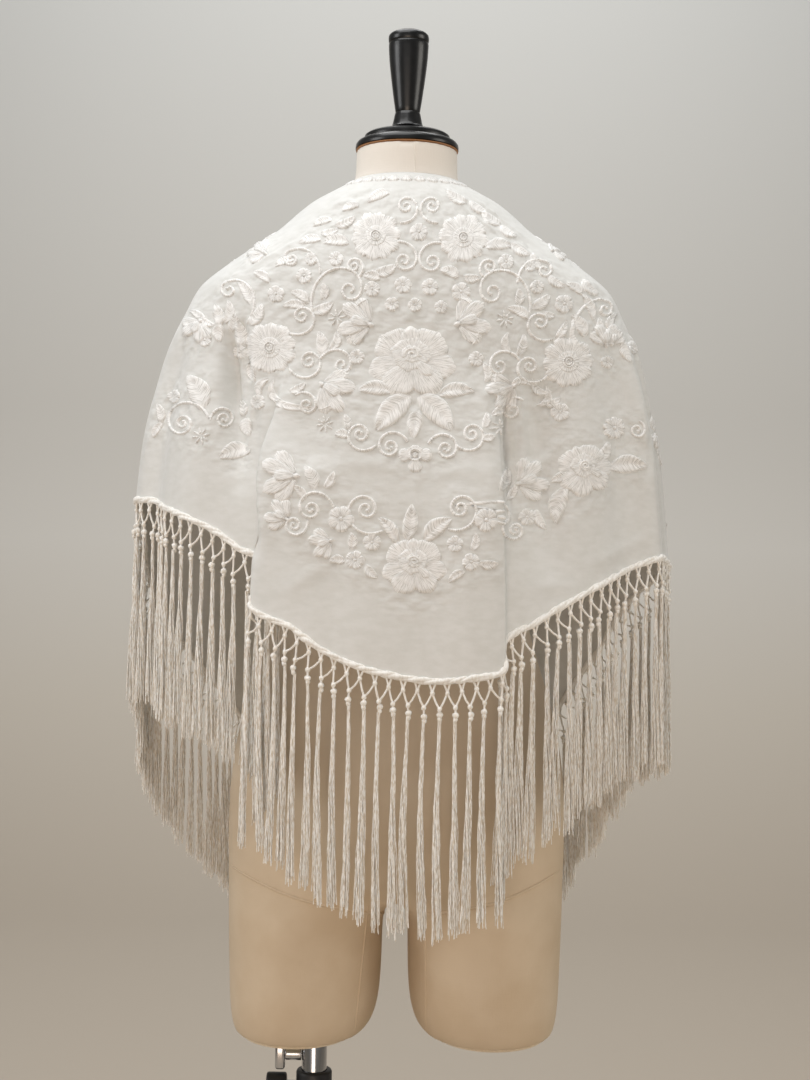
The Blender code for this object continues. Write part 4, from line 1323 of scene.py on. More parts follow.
LEAVES = table(
    Leaf,
    (378, 196, 24, 10, 205), (456, 197, 24, 10, 150, -0.10), (336, 241, 26, 12, 180),
    (499, 245, 26, 12, 0, -0.10), (301, 296, 21, 10, 150), (324, 291, 16, 9, 95), (323, 308, 23, 11, 25),
    (294, 305, 23, 9, 180), (372, 276, 17, 10, 170), (386, 270, 22, 11, 20), (246, 292, 26, 12, 120),
    (257, 315, 24, 11, 60), (321, 343, 23, 12, 95), (335, 341, 19, 9, 70, 0.2), (197, 391, 36, 22, 115),
    (234, 452, 31, 17, 195), (450, 272, 20, 11, 160), (472, 278, 17, 9, 0), (519, 312, 24, 10, 155),
    (541, 302, 23, 11, 35), (549, 315, 12, 8, 350), (519, 297, 17, 9, 85), (580, 325, 25, 12, 120),
    (589, 306, 28, 9, 115), (507, 343, 21, 8, 95, -0.2), (522, 345, 22, 9, 75),
    (375, 389, 31, 14, 178, 0.10, 1.8), (457, 391, 33, 14, 5, -0.10, 1.8),
    (392, 412, 45, 23, 226, 0.06, 1.9), (437, 412, 45, 23, 314, -0.06, 1.9),
    (415, 424, 27, 14, 262, 0.04, 1.8), (389, 529, 29, 12, 128, 0.10, 1.7),
    (410, 522, 33, 14, 82, 0.04, 1.8), (437, 528, 32, 16, 38, -0.08, 1.8), (311, 477, 24, 13, 115),
    (352, 541, 16, 9, 90), (337, 560, 15, 9, 180), (371, 572, 17, 9, 315), (475, 542, 17, 8, 80),
    (489, 564, 18, 9, 0), (456, 576, 18, 8, 215), (505, 479, 24, 10, 75), (629, 465, 36, 18, 2, -0.08, 1.8),
    (559, 505, 36, 17, 255, 0.10, 1.8), (347, 422, 15, 8, 100), (342, 434, 14, 9, 175),
    (486, 420, 15, 8, 80), (489, 437, 13, 8, 10), (276, 393, 24, 8, 300, 0.34),
    (544, 398, 22, 8, 240, -0.34), (218, 315, 22, 11, 100), (219, 333, 18, 12, 270), (233, 322, 20, 10, 80),
    (198, 316, 20, 8, 140), (207, 322, 16, 7, 330), (243, 408, 16, 8, 95), (247, 427, 18, 12, 280),
    (653, 424, 21, 10, 285), (659, 456, 24, 9, 295), (160, 413, 20, 9, 100), (157, 430, 18, 8, 240),
    (346, 222, 22, 9, 25), (350, 207, 18, 8, 200), (490, 218, 24, 9, 145, -0.1), (508, 232, 20, 8, 330),
    (330, 232, 18, 8, 15), (262, 276, 20, 9, 150), (575, 288, 20, 9, 150), (500, 398, 16, 8, 120),
    (498, 412, 14, 8, 200), (562, 330, 20, 8, 60), (598, 330, 26, 9, 80), (612, 322, 22, 8, 75, -0.2),
    (626, 352, 22, 10, 290), (590, 288, 22, 9, 320), (556, 282, 20, 9, 330), (520, 384, 22, 8, 190, 0.3),
    (540, 388, 24, 8, 330, 0.3), (552, 402, 18, 8, 20), (486, 372, 20, 8, 100, 0.2), (470, 222, 18, 8, 150),
    (478, 208, 22, 8, 330), (520, 250, 22, 9, 330, 0.1), (536, 262, 20, 8, 300), (322, 222, 20, 8, 200),
    (310, 240, 22, 9, 190), (284, 262, 20, 8, 200), (228, 312, 24, 10, 80, 0.2), (240, 334, 26, 12, 95),
    (252, 372, 20, 9, 280), (262, 388, 22, 8, 250, 0.3), (286, 402, 22, 8, 350, 0.3), (298, 388, 18, 8, 30),
    (330, 480, 18, 8, 60), (300, 492, 18, 8, 130), (512, 492, 18, 8, 60), (540, 520, 22, 9, 300),
    (604, 452, 22, 11, 60), (562, 478, 22, 11, 190),
)

STARS = table(
    Star,
    (337, 318), (505, 319), (325, 424, 16), (500, 427, 15), (201, 436, 17),
)

SCROLLS = table(
    Scroll,
    (406, 206, 7.5, -1, 90, 200, 17), (432, 206, 7.5, 1, 90, 200, 17), (404, 261, 8.0, 1, -90, 210, 20),
    (432, 262, 8.0, -1, -90, 210, 20), (354, 266, 6.5, -1, 90, 160, 11), (489, 267, 6.5, 1, 90, 160, 11),
    (350, 290, 10.5, 1, 0, 212, 41), (492, 292, 10.5, -1, 180, 212, 41), (302, 316, 7.5, -1, 90, 216, 20),
    (540, 322, 7.5, 1, 90, 216, 20), (309, 361, 7.5, -1, 90, 250, 20), (342, 365, 8.0, 1, 0, 165, 21),
    (529, 366, 7.5, 1, 90, 250, 20), (499, 366, 8.0, -1, 180, 165, 20), (307, 405, 8.0, 1, 0, 140, 14),
    (512, 410, 8.0, -1, 180, 140, 14), (229, 290, 8.5, -1, 90, 152, 36), (292, 259, 8.5, -1, 90, 117, 30),
    (544, 270, 8.5, 1, 90, 117, 28), (605, 309, 8.5, 1, 90, 152, 34), (360, 434, 8.0, 1, 90, 235, 18),
    (390, 447, 7.5, -1, -90, 254, 17), (472, 434, 8.0, -1, 90, 235, 18), (446, 449, 7.5, 1, -90, 254, 17),
    (311, 509, 7.5, -1, -90, 273, 21), (294, 525, 7.0, 1, 180, 200, 13), (366, 509, 8.5, 1, 0, 307, 25),
    (460, 508, 8.0, -1, 180, 300, 22), (504, 516, 7.0, 1, -90, 273, 18), (515, 530, 6.5, -1, 0, 200, 12),
    (637, 430, 7.5, 1, 0, 80, 9), (183, 423, 7.5, -1, 0, 350, 25), (224, 419, 7.0, 1, -90, 275, 13),
)

BLOSSOMS = table(
    Blossom,
    (356, 321, 34, 165), (472, 320, 34, 15), (335, 392, 34, 330), (502, 392, 28, 210),
    (280, 476, 36, 180, False), (531, 479, 32, 20, False), (278, 514, 24, 150, False),
    (321, 544, 22, 200, False), (606, 335, 24, 90, False), (613, 337, 18, 80, False),
    (196, 330, 24, 240, False), (653, 441, 16, 260, False), (258, 250, 22, 150, False),
    (560, 252, 20, 20, False),
)

DROP_FLOWERS = table(DropFlower, (415, 455))


class Spray(NamedTuple):
    """A spray on a hidden part of the shawl: its angle, its height and its hand."""

    angle: float
    height: float
    hand: int


SPRAYS = table(
    Spray,
    (-104, 1.300, 1), (-122, 1.270, -1), (-142, 1.245, 1), (-112, 1.165, -1), (-132, 1.130, 1),
    (-150, 1.060, -1), (-138, 1.010, 1), (-154, 0.930, 1), (104, 1.290, -1), (122, 1.270, 1),
    (142, 1.240, -1), (110, 1.150, 1), (132, 1.125, -1), (150, 1.060, 1), (138, 1.005, -1),
    (155, 0.920, -1), (-100, 1.385, 1), (100, 1.385, -1), (-140, 1.375, 1), (140, 1.375, -1),
)


@dataclass
class Embroidery:
    """All the needlework of the shawl."""

    surface: Surface
    drape: Drape
    view: PhotoView
    finish: Material
    scallop_spacing: float = 11.0
    scallop_height: float = 1.4490

    @staticmethod
    def seen() -> list[Motif]:
        """Every motif that the photograph shows."""
        named = [*ROSES.values(), *OPEN_FLOWERS.values()]
        return [*named, *SMALL_FLOWERS, *LEAVES, *STARS, *SCROLLS, *BLOSSOMS, *DROP_FLOWERS]

    def piece(self, name: str, motifs: Sequence[Motif]) -> Thing:
        """Make one piece of several motifs."""
        work = Needlework(name, self.surface)
        for motif in motifs:
            motif.stitch(work, motif.seat(self.surface, self.view))
        return work.build(self.finish)

    def spray(self, work: Needlework, spray: Spray) -> None:
        """Lay a flower between two scrolls and its leaves, as on the back."""
        middle = self.drape.point(spray.angle, spray.height)
        from_axis = math.hypot(middle.x, middle.y)

        def seat(right: float, up: float) -> Seat:
            turn = spray.hand * math.degrees(right * MM / from_axis)
            return self.surface.seat_at(self.drape.point(spray.angle + turn, spray.height + up * MM))

        flower = SmallFlower(0, 0, 26, 90, 5, 1.9) if spray.height < 1.2 else OpenFlower(0, 0, 36)
        flower.stitch(work, seat(0, 0))
        for turn, out, length in ((200, 26, 24), (340, 26, 24), (95, 24, 18), (262, 22, 18)):
            tip = turn if spray.hand > 0 else 180 - turn
            work.leaf(seat(*around(out, turn)), (0, 0), tip, length * MM, 5.5 * MM, 1.5 * MM)
        for right, up, hand in ((36, 14, 1), (-34, -16, -1)):
            scroll = Scroll(0, 0, 7.5, hand * spray.hand, 90, 230, 20)
            scroll.stitch(work, seat(right, up))

    def scallops(self) -> Thing:
        """The row of small satin-stitched scallops along the edge at the nape."""
        work = Needlework("nape_scallops", self.surface)
        for i in range(-5, 6):
            seat = self.surface.seat_at(self.drape.point(i * self.scallop_spacing, self.scallop_height))
            work.petal(seat, (0, 0.003), 270, 0.0, 0.0095, 0.0062, 1.2 * MM)
        return work.build(self.finish)

    def build(self) -> list[Thing]:
        """Make every piece of needlework."""
        pieces = []
        for name, motif in {**ROSES, **OPEN_FLOWERS}.items():
            pieces.append(self.piece(f"{name}_stitch", [motif]))
            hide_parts(name)
        groups = {
            "small_flowers": SMALL_FLOWERS,
            "leaves": LEAVES,
            "stars": STARS,
            "scroll_cords": SCROLLS,
            "blossoms": BLOSSOMS + DROP_FLOWERS,
        }
        pieces += [self.piece(name, motifs) for name, motifs in groups.items()]
        hidden = Needlework("front_sprays", self.surface)
        for spray in SPRAYS:
            self.spray(hidden, spray)
        return [*pieces, hidden.build(self.finish), self.scallops()]


class Stretch(NamedTuple):
    """A stretch of the fringe between two angles at the hem, and how full its strands are."""

    name: str
    first: float
    last: float
    fullness: float


STRETCHES = table(
    Stretch,
    ("fringe_left_front", -163, -96, 1.35),
    ("fringe_left_back", -96, -28, 1.6),
    ("fringe_centre_back", -28, 20.5, 1.0),
    ("fringe_right_back", 20.5, 92, 1.6),
    ("fringe_right_front", 92, 163, 1.35),
)


class HemLine:
    """The cloth's lower edge as a path measured from its left tip."""

    def __init__(self, places: Sequence[float], points: Sequence[Vector]) -> None:
        self.places = places
        self.lengths = lengths_along(points)
        self.axes = list(zip(*points))

    def length_at_angle(self, angle: float) -> float:
        """Length along the hem at a column given by its angle at the hem."""
        side = Drape.side_angle
        place = angle
        if abs(angle) > side:
            tip = abs(HEM[0].angle if angle < 0 else HEM[-1].angle)
            place = math.copysign(side + side * (abs(angle) - side) / (tip - side), angle)
        return float(np.interp(place, self.places, self.lengths))

    def point(self, length: float) -> Vector:
        """Point on the hem at a length along it."""
        return Vector([float(np.interp(length, self.lengths, axis)) for axis in self.axes])

    def smoothed(self, length: float, reach: float) -> Vector:
        """Mean point of the hem about a length, which rounds its sharp turns."""
        near = [self.point(length + reach * i / 2) for i in range(-2, 3)]
        return sum(near, Vector()) / len(near)


@dataclass
class WhippedEdge:
    """The overcast edge: three plies twisted round the hem like a soft rope."""

    hem: HemLine
    finish: Material
    ply_radius: float = 0.0021
    twist_radius: float = 0.0013
    turn_length: float = 0.050
    step: float = 0.0024
    rise: float = 0.0030
    rounding: float = 0.003
    inset: float = 0.0006
    slack_length: float = 0.022

    def build(self) -> Thing:
        """Make the rope."""
        total = self.hem.lengths[-1]
        paths: list[list[Vector]] = [[], [], []]
        for share in shares(int(total / self.step)):
            length = total * share
            middle = self.hem.smoothed(length, self.rounding) + UP * self.rise
            outward = level_outward(middle)
            slack = noise.noise(Vector((length / self.slack_length, 0, 0)))
            swing = 2 * math.pi * (length / self.turn_length + 0.22 * slack)
            for ply, path in enumerate(paths):
                turn = swing + 2 * math.pi * ply / 3
                offset = outward * math.cos(turn) + UP * math.sin(turn)
                path.append(middle + offset * self.twist_radius * (1 + 0.7 * slack) - outward * self.inset)
        return link_mesh("whipped_edge", tubes("whipped_edge", self.ply_radius, 2, paths, 0.5), self.finish)


@dataclass
class Fringe:
    """One stretch of knotted net and hanging silk."""

    name: str
    hem: HemLine
    start: float
    end: float
    net_finish: Material
    strand_finish: Material
    fullness: float
    pitch: float = 0.0135
    hem_spread: float = 0.0028
    inset: float = 0.0006
    first_drop: float = 0.0075
    second_drop: float = 0.0215
    third_drop: float = 0.0295
    cord_radius: float = 0.00106
    cord_sag: float = 0.0012
    strand_drop: float = 0.0325
    length: float = 0.196
    back_extra: float = 0.032
    back_reach: float = 0.30
    unevenness: float = 0.005
    most_tilt: float = 0.75
    shear_share: float = 0.85
    threads: int = 30
    thread_radius: float = 0.00042
    thread_points: int = 16
    top_radius_mm: float = 1.4
    spread_mm: float = 2.6
    crimp_mm: float = 0.34
    crimp_waves: float = 27.0
    # Each knot's radius, and its height as a share of its width.
    hem_knot: Pair = (0.0022, 1.2)
    mesh_knot: Pair = (0.0023, 1.1)
    upper_knot: Pair = (0.0030, 1.0)
    lower_knot: Pair = (0.0022, 1.2)

    @property
    def count(self) -> int:
        """Number of strands."""
        return max(2, round((self.end - self.start) / self.pitch))

    def hem_point(self, step: float) -> Vector:
        """Point on the hem at a number of pitches from the stretch's start."""
        return self.hem.point(self.start + step * (self.end - self.start) / self.count)

    def at(self, step: float, drop: float, uneven: random.Random, sway: float) -> Vector:
        """Point below the hem at a number of pitches from the stretch's start."""
        point = self.hem_point(step) - UP * drop
        jitter = Vector([uneven.uniform(-sway, sway) for _ in range(3)])
        return point - level_outward(point) * self.inset + jitter

    def shear(self, step: float) -> Vector:
        """How far a mesh of the net is drawn uphill and up where the hem is steep."""
        run = self.hem_point(step + 1) - self.hem_point(step)
        level = Vector((run.x, run.y, 0))
        tilt = min(max(math.atan2(run.z, level.length), -self.most_tilt), self.most_tilt)
        uphill = level.normalized() * math.sin(tilt) + UP * (1 - math.cos(tilt))
        return uphill * (self.second_drop - self.first_drop) * self.shear_share

    def knot(self, shape: BMesh, place: Vector, radius: float, tall: float, uneven: random.Random) -> None:
        """Add a lumpy knot."""
        ball = bmesh.ops.create_icosphere(shape, subdivisions=2, radius=radius)
        turn = Matrix.Rotation(uneven.uniform(0, 6.3), 3, "Z")
        seed = Vector([uneven.uniform(0, 50) for _ in range(3)])
        for vert in ball["verts"]:
            lump = 1 + 0.30 * noise.noise(vert.co * (1.1 / radius) + seed)
            vert.co = place + turn @ Vector((vert.co.x * lump, vert.co.y * lump, vert.co.z * lump * tall))

    def net(self) -> Thing:
        """Make the cords and knots between the hem and the strands."""
        uneven = random.Random(self.name)
        paths = []
        shape = bmesh.new()
        firsts = [self.at(j, self.first_drop, uneven, 0.0006) for j in range(self.count + 1)]
        seconds = [
            self.at(i + 0.5, self.second_drop, uneven, 0.0010) + self.shear(i) for i in range(self.count)
        ]
        spread = self.hem_spread / self.pitch
        for j, first in enumerate(firsts):
            for side in (-1, 1):
                top = self.at(min(max(j + side * spread, 0), self.count), 0.0, uneven, 0.0)
                paths.append([top + UP * 0.001, top.lerp(first, 0.5) + UP * 0.0008, first])
            self.knot(shape, first, *self.hem_knot, uneven)
        for i, second in enumerate(seconds):
            for first in (firsts[i], firsts[i + 1]):
                sag = (second - first).cross(UP) * 0.06 - UP * self.cord_sag
                paths.append([first, first.lerp(second, 0.5) + sag, second])
            third = self.at(i + 0.5, self.third_drop, uneven, 0.0012) + self.shear(i)
            paths.append([second, third, third - UP * 0.004])
            self.knot(shape, second, *self.mesh_knot, uneven)
            self.knot(shape, third + UP * 0.0012, *self.upper_knot, uneven)
            self.knot(shape, third - UP * 0.0026, *self.lower_knot, uneven)
        cords = tubes(f"{self.name}_cords", self.cord_radius, 1, paths)
        shape.from_mesh(cords)
        bpy.data.meshes.remove(cords)
        return piece_from(shape, f"{self.name}_net", self.net_finish)

    def strand(self, step: float, drop: float, uneven: random.Random) -> list[list[Vector]]:
        """The threads of one strand."""
        top = self.at(step, self.strand_drop, uneven, 0.0004) + self.shear(step - 0.5)
        outward = level_outward(top)
        along = Vector((-outward.y, outward.x, 0))
        sway = along * uneven.uniform(-0.0030, 0.0030) + outward * uneven.uniform(-0.0020, 0.0025)
        bow = along * uneven.uniform(-0.0022, 0.0022)
        flare = uneven.uniform(0.85, 1.25)
        paths = []
        for _ in range(self.threads):
            turn = uneven.uniform(0, 2 * math.pi)
            out = math.sqrt(uneven.uniform(0.05, 1.0))
            length = drop - self.strand_drop + uneven.uniform(-0.012, 0.004)
            phase = uneven.uniform(0, 2 * math.pi)
            wave = uneven.uniform(0.5, 1.4) * self.crimp_mm * MM
            twist = uneven.uniform(1.2, 2.4)
            path = []
            for share in shares(self.thread_points - 1):
                spread = self.spread_mm * flare * smooth(share * 1.1) + 0.9 * share**8
                radius = (self.top_radius_mm + spread) * self.fullness * MM * out
                swing = turn + twist * (1 - share) ** 2 * 3
                place = top + along * (radius * math.cos(swing)) + outward * (0.65 * radius * math.sin(swing))
                place += sway * share**1.5 + bow * math.sin(math.pi * share)
                place += along * wave * math.sin(phase + self.crimp_waves * share) * (0.3 + share)
                path.append(place - UP * (length * share))
            paths.append(path)
        return paths

    def strands(self) -> Thing:
        """Make the hanging silk in place of the stretch's solid."""
        uneven = random.Random(self.name)
        centre = self.hem.length_at_angle(0)
        paths = []
        for i in range(self.count):
            length = self.start + (i + 0.5) * (self.end - self.start) / self.count
            drop = self.length + self.back_extra * (1 - smooth(abs(length - centre) / self.back_reach))
            drop += uneven.uniform(-self.unevenness, self.unevenness)
            paths += self.strand(i + 0.5, drop, random.Random(f"{self.name} {i}"))
        mesh = tubes(f"{self.name}_silk", self.thread_radius, 0, paths)
        silk = link_mesh(f"{self.name}_silk", mesh, self.strand_finish)
        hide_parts(self.name)
        return silk


class Leg(NamedTuple):
    """A level section of a thigh end: height, centre, half width, depth behind and in front."""

    height: float
    centre: float
    half_width: float
    back: float
    front: float


FORM_NECK = table(
    Ring,
    (1.4870, 0.0505, 0.0515, 0.0505),
    (1.4700, 0.0508, 0.0520, 0.0505),
    (1.4515, 0.0514, 0.0532, 0.0508),
)
SHOULDER_HEIGHTS = (1.4440, 1.4340, 1.4200, 1.4000, 1.3810, 1.3620)
FORM_BODY = table(
    Ring,
    (1.346, 0.1975, 0.1030, 0.1030),
    (1.322, 0.1970, 0.1045, 0.1120),
    (1.290, 0.1830, 0.1030, 0.1220),
    (1.250, 0.1690, 0.1010, 0.1290),
    (1.205, 0.1600, 0.0960, 0.1290),
    (1.150, 0.1420, 0.0860, 0.1110),
    (1.095, 0.1270, 0.0770, 0.0940),
    (1.045, 0.1220, 0.0750, 0.0870),
    (0.995, 0.1340, 0.0830, 0.0890),
    (0.940, 0.1530, 0.0990, 0.0930),
    (0.885, 0.1650, 0.1130, 0.0940),
    (0.835, 0.1685, 0.1150, 0.0910),
    (0.790, 0.1680, 0.1080, 0.0870),
    (0.768, 0.1675, 0.1030, 0.0850),
)
LEGS = table(
    Leg,
    (0.735, 0.0895, 0.0775, 0.0970, 0.0810),
    (0.702, 0.0893, 0.0770, 0.0915, 0.0775),
    (0.672, 0.0892, 0.0762, 0.0880, 0.0750),
    (0.648, 0.0897, 0.0750, 0.0850, 0.0728),
    (0.630, 0.0910, 0.0722, 0.0810, 0.0700),
    (0.6185, 0.0930, 0.0680, 0.0765, 0.0660),
    (0.6125, 0.0950, 0.0630, 0.0710, 0.0615),
)


@dataclass
class DressForm:
    """The canvas-covered body from the neck to its two thigh ends."""

    finish: Material
    shoulder_drop: float = 0.0036
    shoulder_inset: float = 0.0007
    back_inset: float = 0.0018
    chest_inset: float = 0.0060
    crotch_height: float = 0.747
    torso_steps: int = 16
    crotch_steps: int = 8
    leg_back_angle: float = -50.0
    leg_front_angle: float = 230.0
    join: float = 0.0001

    def rings(self) -> list[Ring]:
        """Sections of the torso from the neck down."""
        shoulders = []
        for height in SHOULDER_HEIGHTS:
            _, half_width, back, front = ring_at(CLOTH_RINGS, height + self.shoulder_drop)
            sizes = (half_width - self.shoulder_inset, back - self.back_inset, front - self.chest_inset)
            shoulders.append(Ring(height, *sizes))
        return [*FORM_NECK, *shoulders, *FORM_BODY]

    def torso(self, shape: BMesh) -> list[Vert]:
        """The right half of the torso. Returns its lowest row from back to front."""
        rings = self.rings()
        steps = self.torso_steps
        grid = bmesh.ops.create_grid(shape, x_segments=steps, y_segments=len(rings) - 1, size=1.0)
        rows: dict[int, dict[int, Vert]] = {}
        for vert in grid["verts"]:
            step = round((vert.co.x + 1) / 2 * steps)
            row = round((1 - vert.co.y) / 2 * (len(rings) - 1))
            point, _, _ = point_on_ring(rings[row], 180 * step / steps)
            if step in (0, steps):
                point.x = 0.0
            vert.co = point
            rows.setdefault(row, {})[step] = vert
        bmesh.ops.contextual_create(shape, geom=[rows[0][step] for step in range(steps + 1)])
        return [rows[len(rings) - 1][step] for step in range(steps + 1)]

    def crotch(self, shape: BMesh, front: Vert, back: Vert) -> list[Vert]:
        """The arch between the thighs, as points from the front to the back without its ends."""
        chain = [front]
        for share in shares(self.crotch_steps)[1:-1]:
            point = front.co.lerp(back.co, share)
            point.z -= (point.z - self.crotch_height) * math.sin(math.pi * share)
            vert = shape.verts.new(point)
            shape.edges.new((chain[-1], vert))
            chain.append(vert)
        shape.edges.new((chain[-1], back))
        return chain[1:]

    def leg(self, shape: BMesh, waist: list[Vert]) -> None:
        """The right thigh end, extruded ring by ring from the torso's lower edge and the crotch."""
        loop = waist + self.crotch(shape, waist[-1], waist[0])
        outer = self.leg_front_angle - self.leg_back_angle
        angles = [self.leg_back_angle + outer * share for share in shares(self.torso_steps)]
        inner = [self.leg_front_angle + (360 - outer) * share for share in shares(self.crotch_steps)]
        angles += inner[1:-1]
        for height, centre, *sizes in LEGS:
            ring = Ring(height, *sizes)
            edges = [shape.edges.get((a, b)) for a, b in zip(loop, loop[1:] + loop[:1])]
            made = bmesh.ops.extrude_edge_only(shape, edges=edges)["geom"]
            follow = {}
            for vert in made:
                if isinstance(vert, Vert):
                    follow[min(loop, key=lambda other: (other.co - vert.co).length)] = vert
            loop = [follow[old] for old in loop]
            for vert, angle in zip(loop, angles):
                vert.co = point_on_ring(ring, angle)[0] + Vector((centre, 0, 0))
        bmesh.ops.contextual_create(shape, geom=loop)

    def build(self) -> Thing:
        """Make the body in place of its solid."""
        shape = bmesh.new()
        self.leg(shape, self.torso(shape))
        half = shape.verts[:] + shape.edges[:] + shape.faces[:]
        bmesh.ops.mirror(shape, geom=half, axis="X", merge_dist=self.join)
        bmesh.ops.remove_doubles(shape, verts=shape.verts, dist=self.join)
        bmesh.ops.recalc_face_normals(shape, faces=shape.faces)
        crease = shape.edges.layers.float.new("crease_edge")
        for edge in shape.edges:
            if max(len(face.verts) for face in edge.link_faces) > 4:
                edge.smooth = False
                edge[crease] = 0.8
        thing = piece_from(shape, "form_shell", self.finish, "form_body")
        rounding = thing.modifiers.new("rounding", "SUBSURF")
        rounding.levels = 2
        rounding.render_levels = 2
        return thing


class SeamLine(NamedTuple):
    """A seam of the form seen in the photograph, by its ends and how far its middle sags, in pixels."""

    from_across: float
    from_down: float
    to_across: float
    to_down: float
    sag: float
    radius_mm: float


SEAM_LINES = table(
    SeamLine,
    (228, 864, 345, 909, 8, 1.5),
    (345, 909, 392, 912, 2, 1.5),
    (418, 913, 457, 910, 2, 1.5),
    (457, 910, 559, 871, 8, 1.5),
    (368, 905, 355, 1030, 0, 0.8),
    (425, 930, 426, 1030, 0, 0.8),
    (415, 142, 415, 178, 0, 0.5),
)


@dataclass
class FormSeams:
    """The corded seams of the canvas."""

    surface: Surface
    view: PhotoView
    finish: Material
    steps: int = 24

    def build(self) -> Thing:
        """Make the seams as one piece."""
        work = Needlework("canvas_seams", self.surface)
        for seam in SEAM_LINES:
            points = []
            for share in shares(self.steps):
                across = seam.from_across + (seam.to_across - seam.from_across) * share
                down = seam.from_down + (seam.to_down - seam.from_down) * share
                down += seam.sag * 4 * share * (1 - share)
                points.append(self.surface.seat_seen(self.view, across, down).origin)
            seat = self.surface.seat_at(points[self.steps // 2])
            flat = [((p - seat.origin).dot(seat.right), (p - seat.origin).dot(seat.up)) for p in points]
            work.ridge(seat, flat, seam.radius_mm * MM)
        return work.build(self.finish)


class Turning(NamedTuple):
    """A point of a turned profile."""

    radius: float
    height: float


CAP_PROFILE = table(
    Turning,
    (0.0000, 1.5120), (0.0170, 1.5105), (0.0215, 1.5085), (0.0260, 1.5072), (0.0340, 1.5062),
    (0.0400, 1.5045), (0.0424, 1.5028), (0.0430, 1.5005), (0.0430, 1.4988), (0.0468, 1.4976),
    (0.0495, 1.4960), (0.0511, 1.4938), (0.0515, 1.4915), (0.0515, 1.4895), (0.0500, 1.4890),
    (0.0000, 1.4890),
)
LIP_PROFILE = table(
    Turning,
    (0.0502, 1.4889), (0.0510, 1.4885), (0.0510, 1.4878), (0.0502, 1.4873), (0.0400, 1.4873),
    (0.0400, 1.4889),
)
FINIAL_PROFILE = table(
    Turning,
    (0.0000, 1.6085), (0.0080, 1.6083), (0.0140, 1.6074), (0.0180, 1.6055), (0.0199, 1.6035),
    (0.0203, 1.6010), (0.0201, 1.5980), (0.0197, 1.5968), (0.0193, 1.5964), (0.0197, 1.5959),
    (0.0199, 1.5940), (0.0197, 1.5880), (0.0190, 1.5780), (0.0178, 1.5670), (0.0160, 1.5530),
    (0.0142, 1.5400), (0.0128, 1.5310), (0.0122, 1.5272), (0.0120, 1.5268), (0.0126, 1.5262),
    (0.0132, 1.5235), (0.0140, 1.5195), (0.0149, 1.5155), (0.0158, 1.5130), (0.0168, 1.5122),
    (0.0000, 1.5122),
)


def turned(
    name: str,
    node: str,
    profile: Sequence[Turning],
    finish: Material,
    steps: int = 64,
    closed: bool = False,
    centre: Pair = (0.0, 0.0),
) -> Thing:
    """Spin a turned piece round an upright axis.

    Args:
        name: The piece's name.
        node: The node that it stands in for, or "" for none.
        profile: Its outline, down the outer side.
        finish: Its material.
        steps: Steps of the spin.
        closed: Whether the outline closes on itself, as on a tube.
        centre: Where its axis stands.

    Returns:
        The piece.
    """
    shape = bmesh.new()
    verts = [shape.verts.new((row.radius, 0.0, row.height)) for row in profile]
    pairs = [*pairwise(verts), *([(verts[-1], verts[0])] if closed else [])]
    edges = [shape.edges.new(pair) for pair in pairs]
    spin = {"cent": (0, 0, 0), "axis": UP, "angle": 2 * math.pi, "steps": steps, "use_merge": True}
    bmesh.ops.spin(shape, geom=verts + edges, **spin)
    bmesh.ops.remove_doubles(shape, verts=shape.verts, dist=SAME_PLACE)
    bmesh.ops.recalc_face_normals(shape, faces=shape.faces)
    bmesh.ops.translate(shape, verts=shape.verts, vec=(*centre, 0))
    return piece_from(shape, name, finish, node, sharp_angle=40.0)


@dataclass
class NeckCap:
    """The black turned cap on the neck, its finial and its bare underside."""

    lacquer: Material
    bare: Material

    def build(self) -> list[Thing]:
        """Make the three turned pieces."""
        return [
            turned("lacquered_cap", "neck_cap", CAP_PROFILE, self.lacquer, 72),
            turned("cap_lip", "", LIP_PROFILE, self.bare, 72, closed=True),
            turned("lacquered_finial", "finial", FINIAL_PROFILE, self.lacquer, 56),
        ]


class Axis(Enum):
    """Which way a bar lies, as the number of its direction."""

    LEVEL = 0
    UPRIGHT = 2


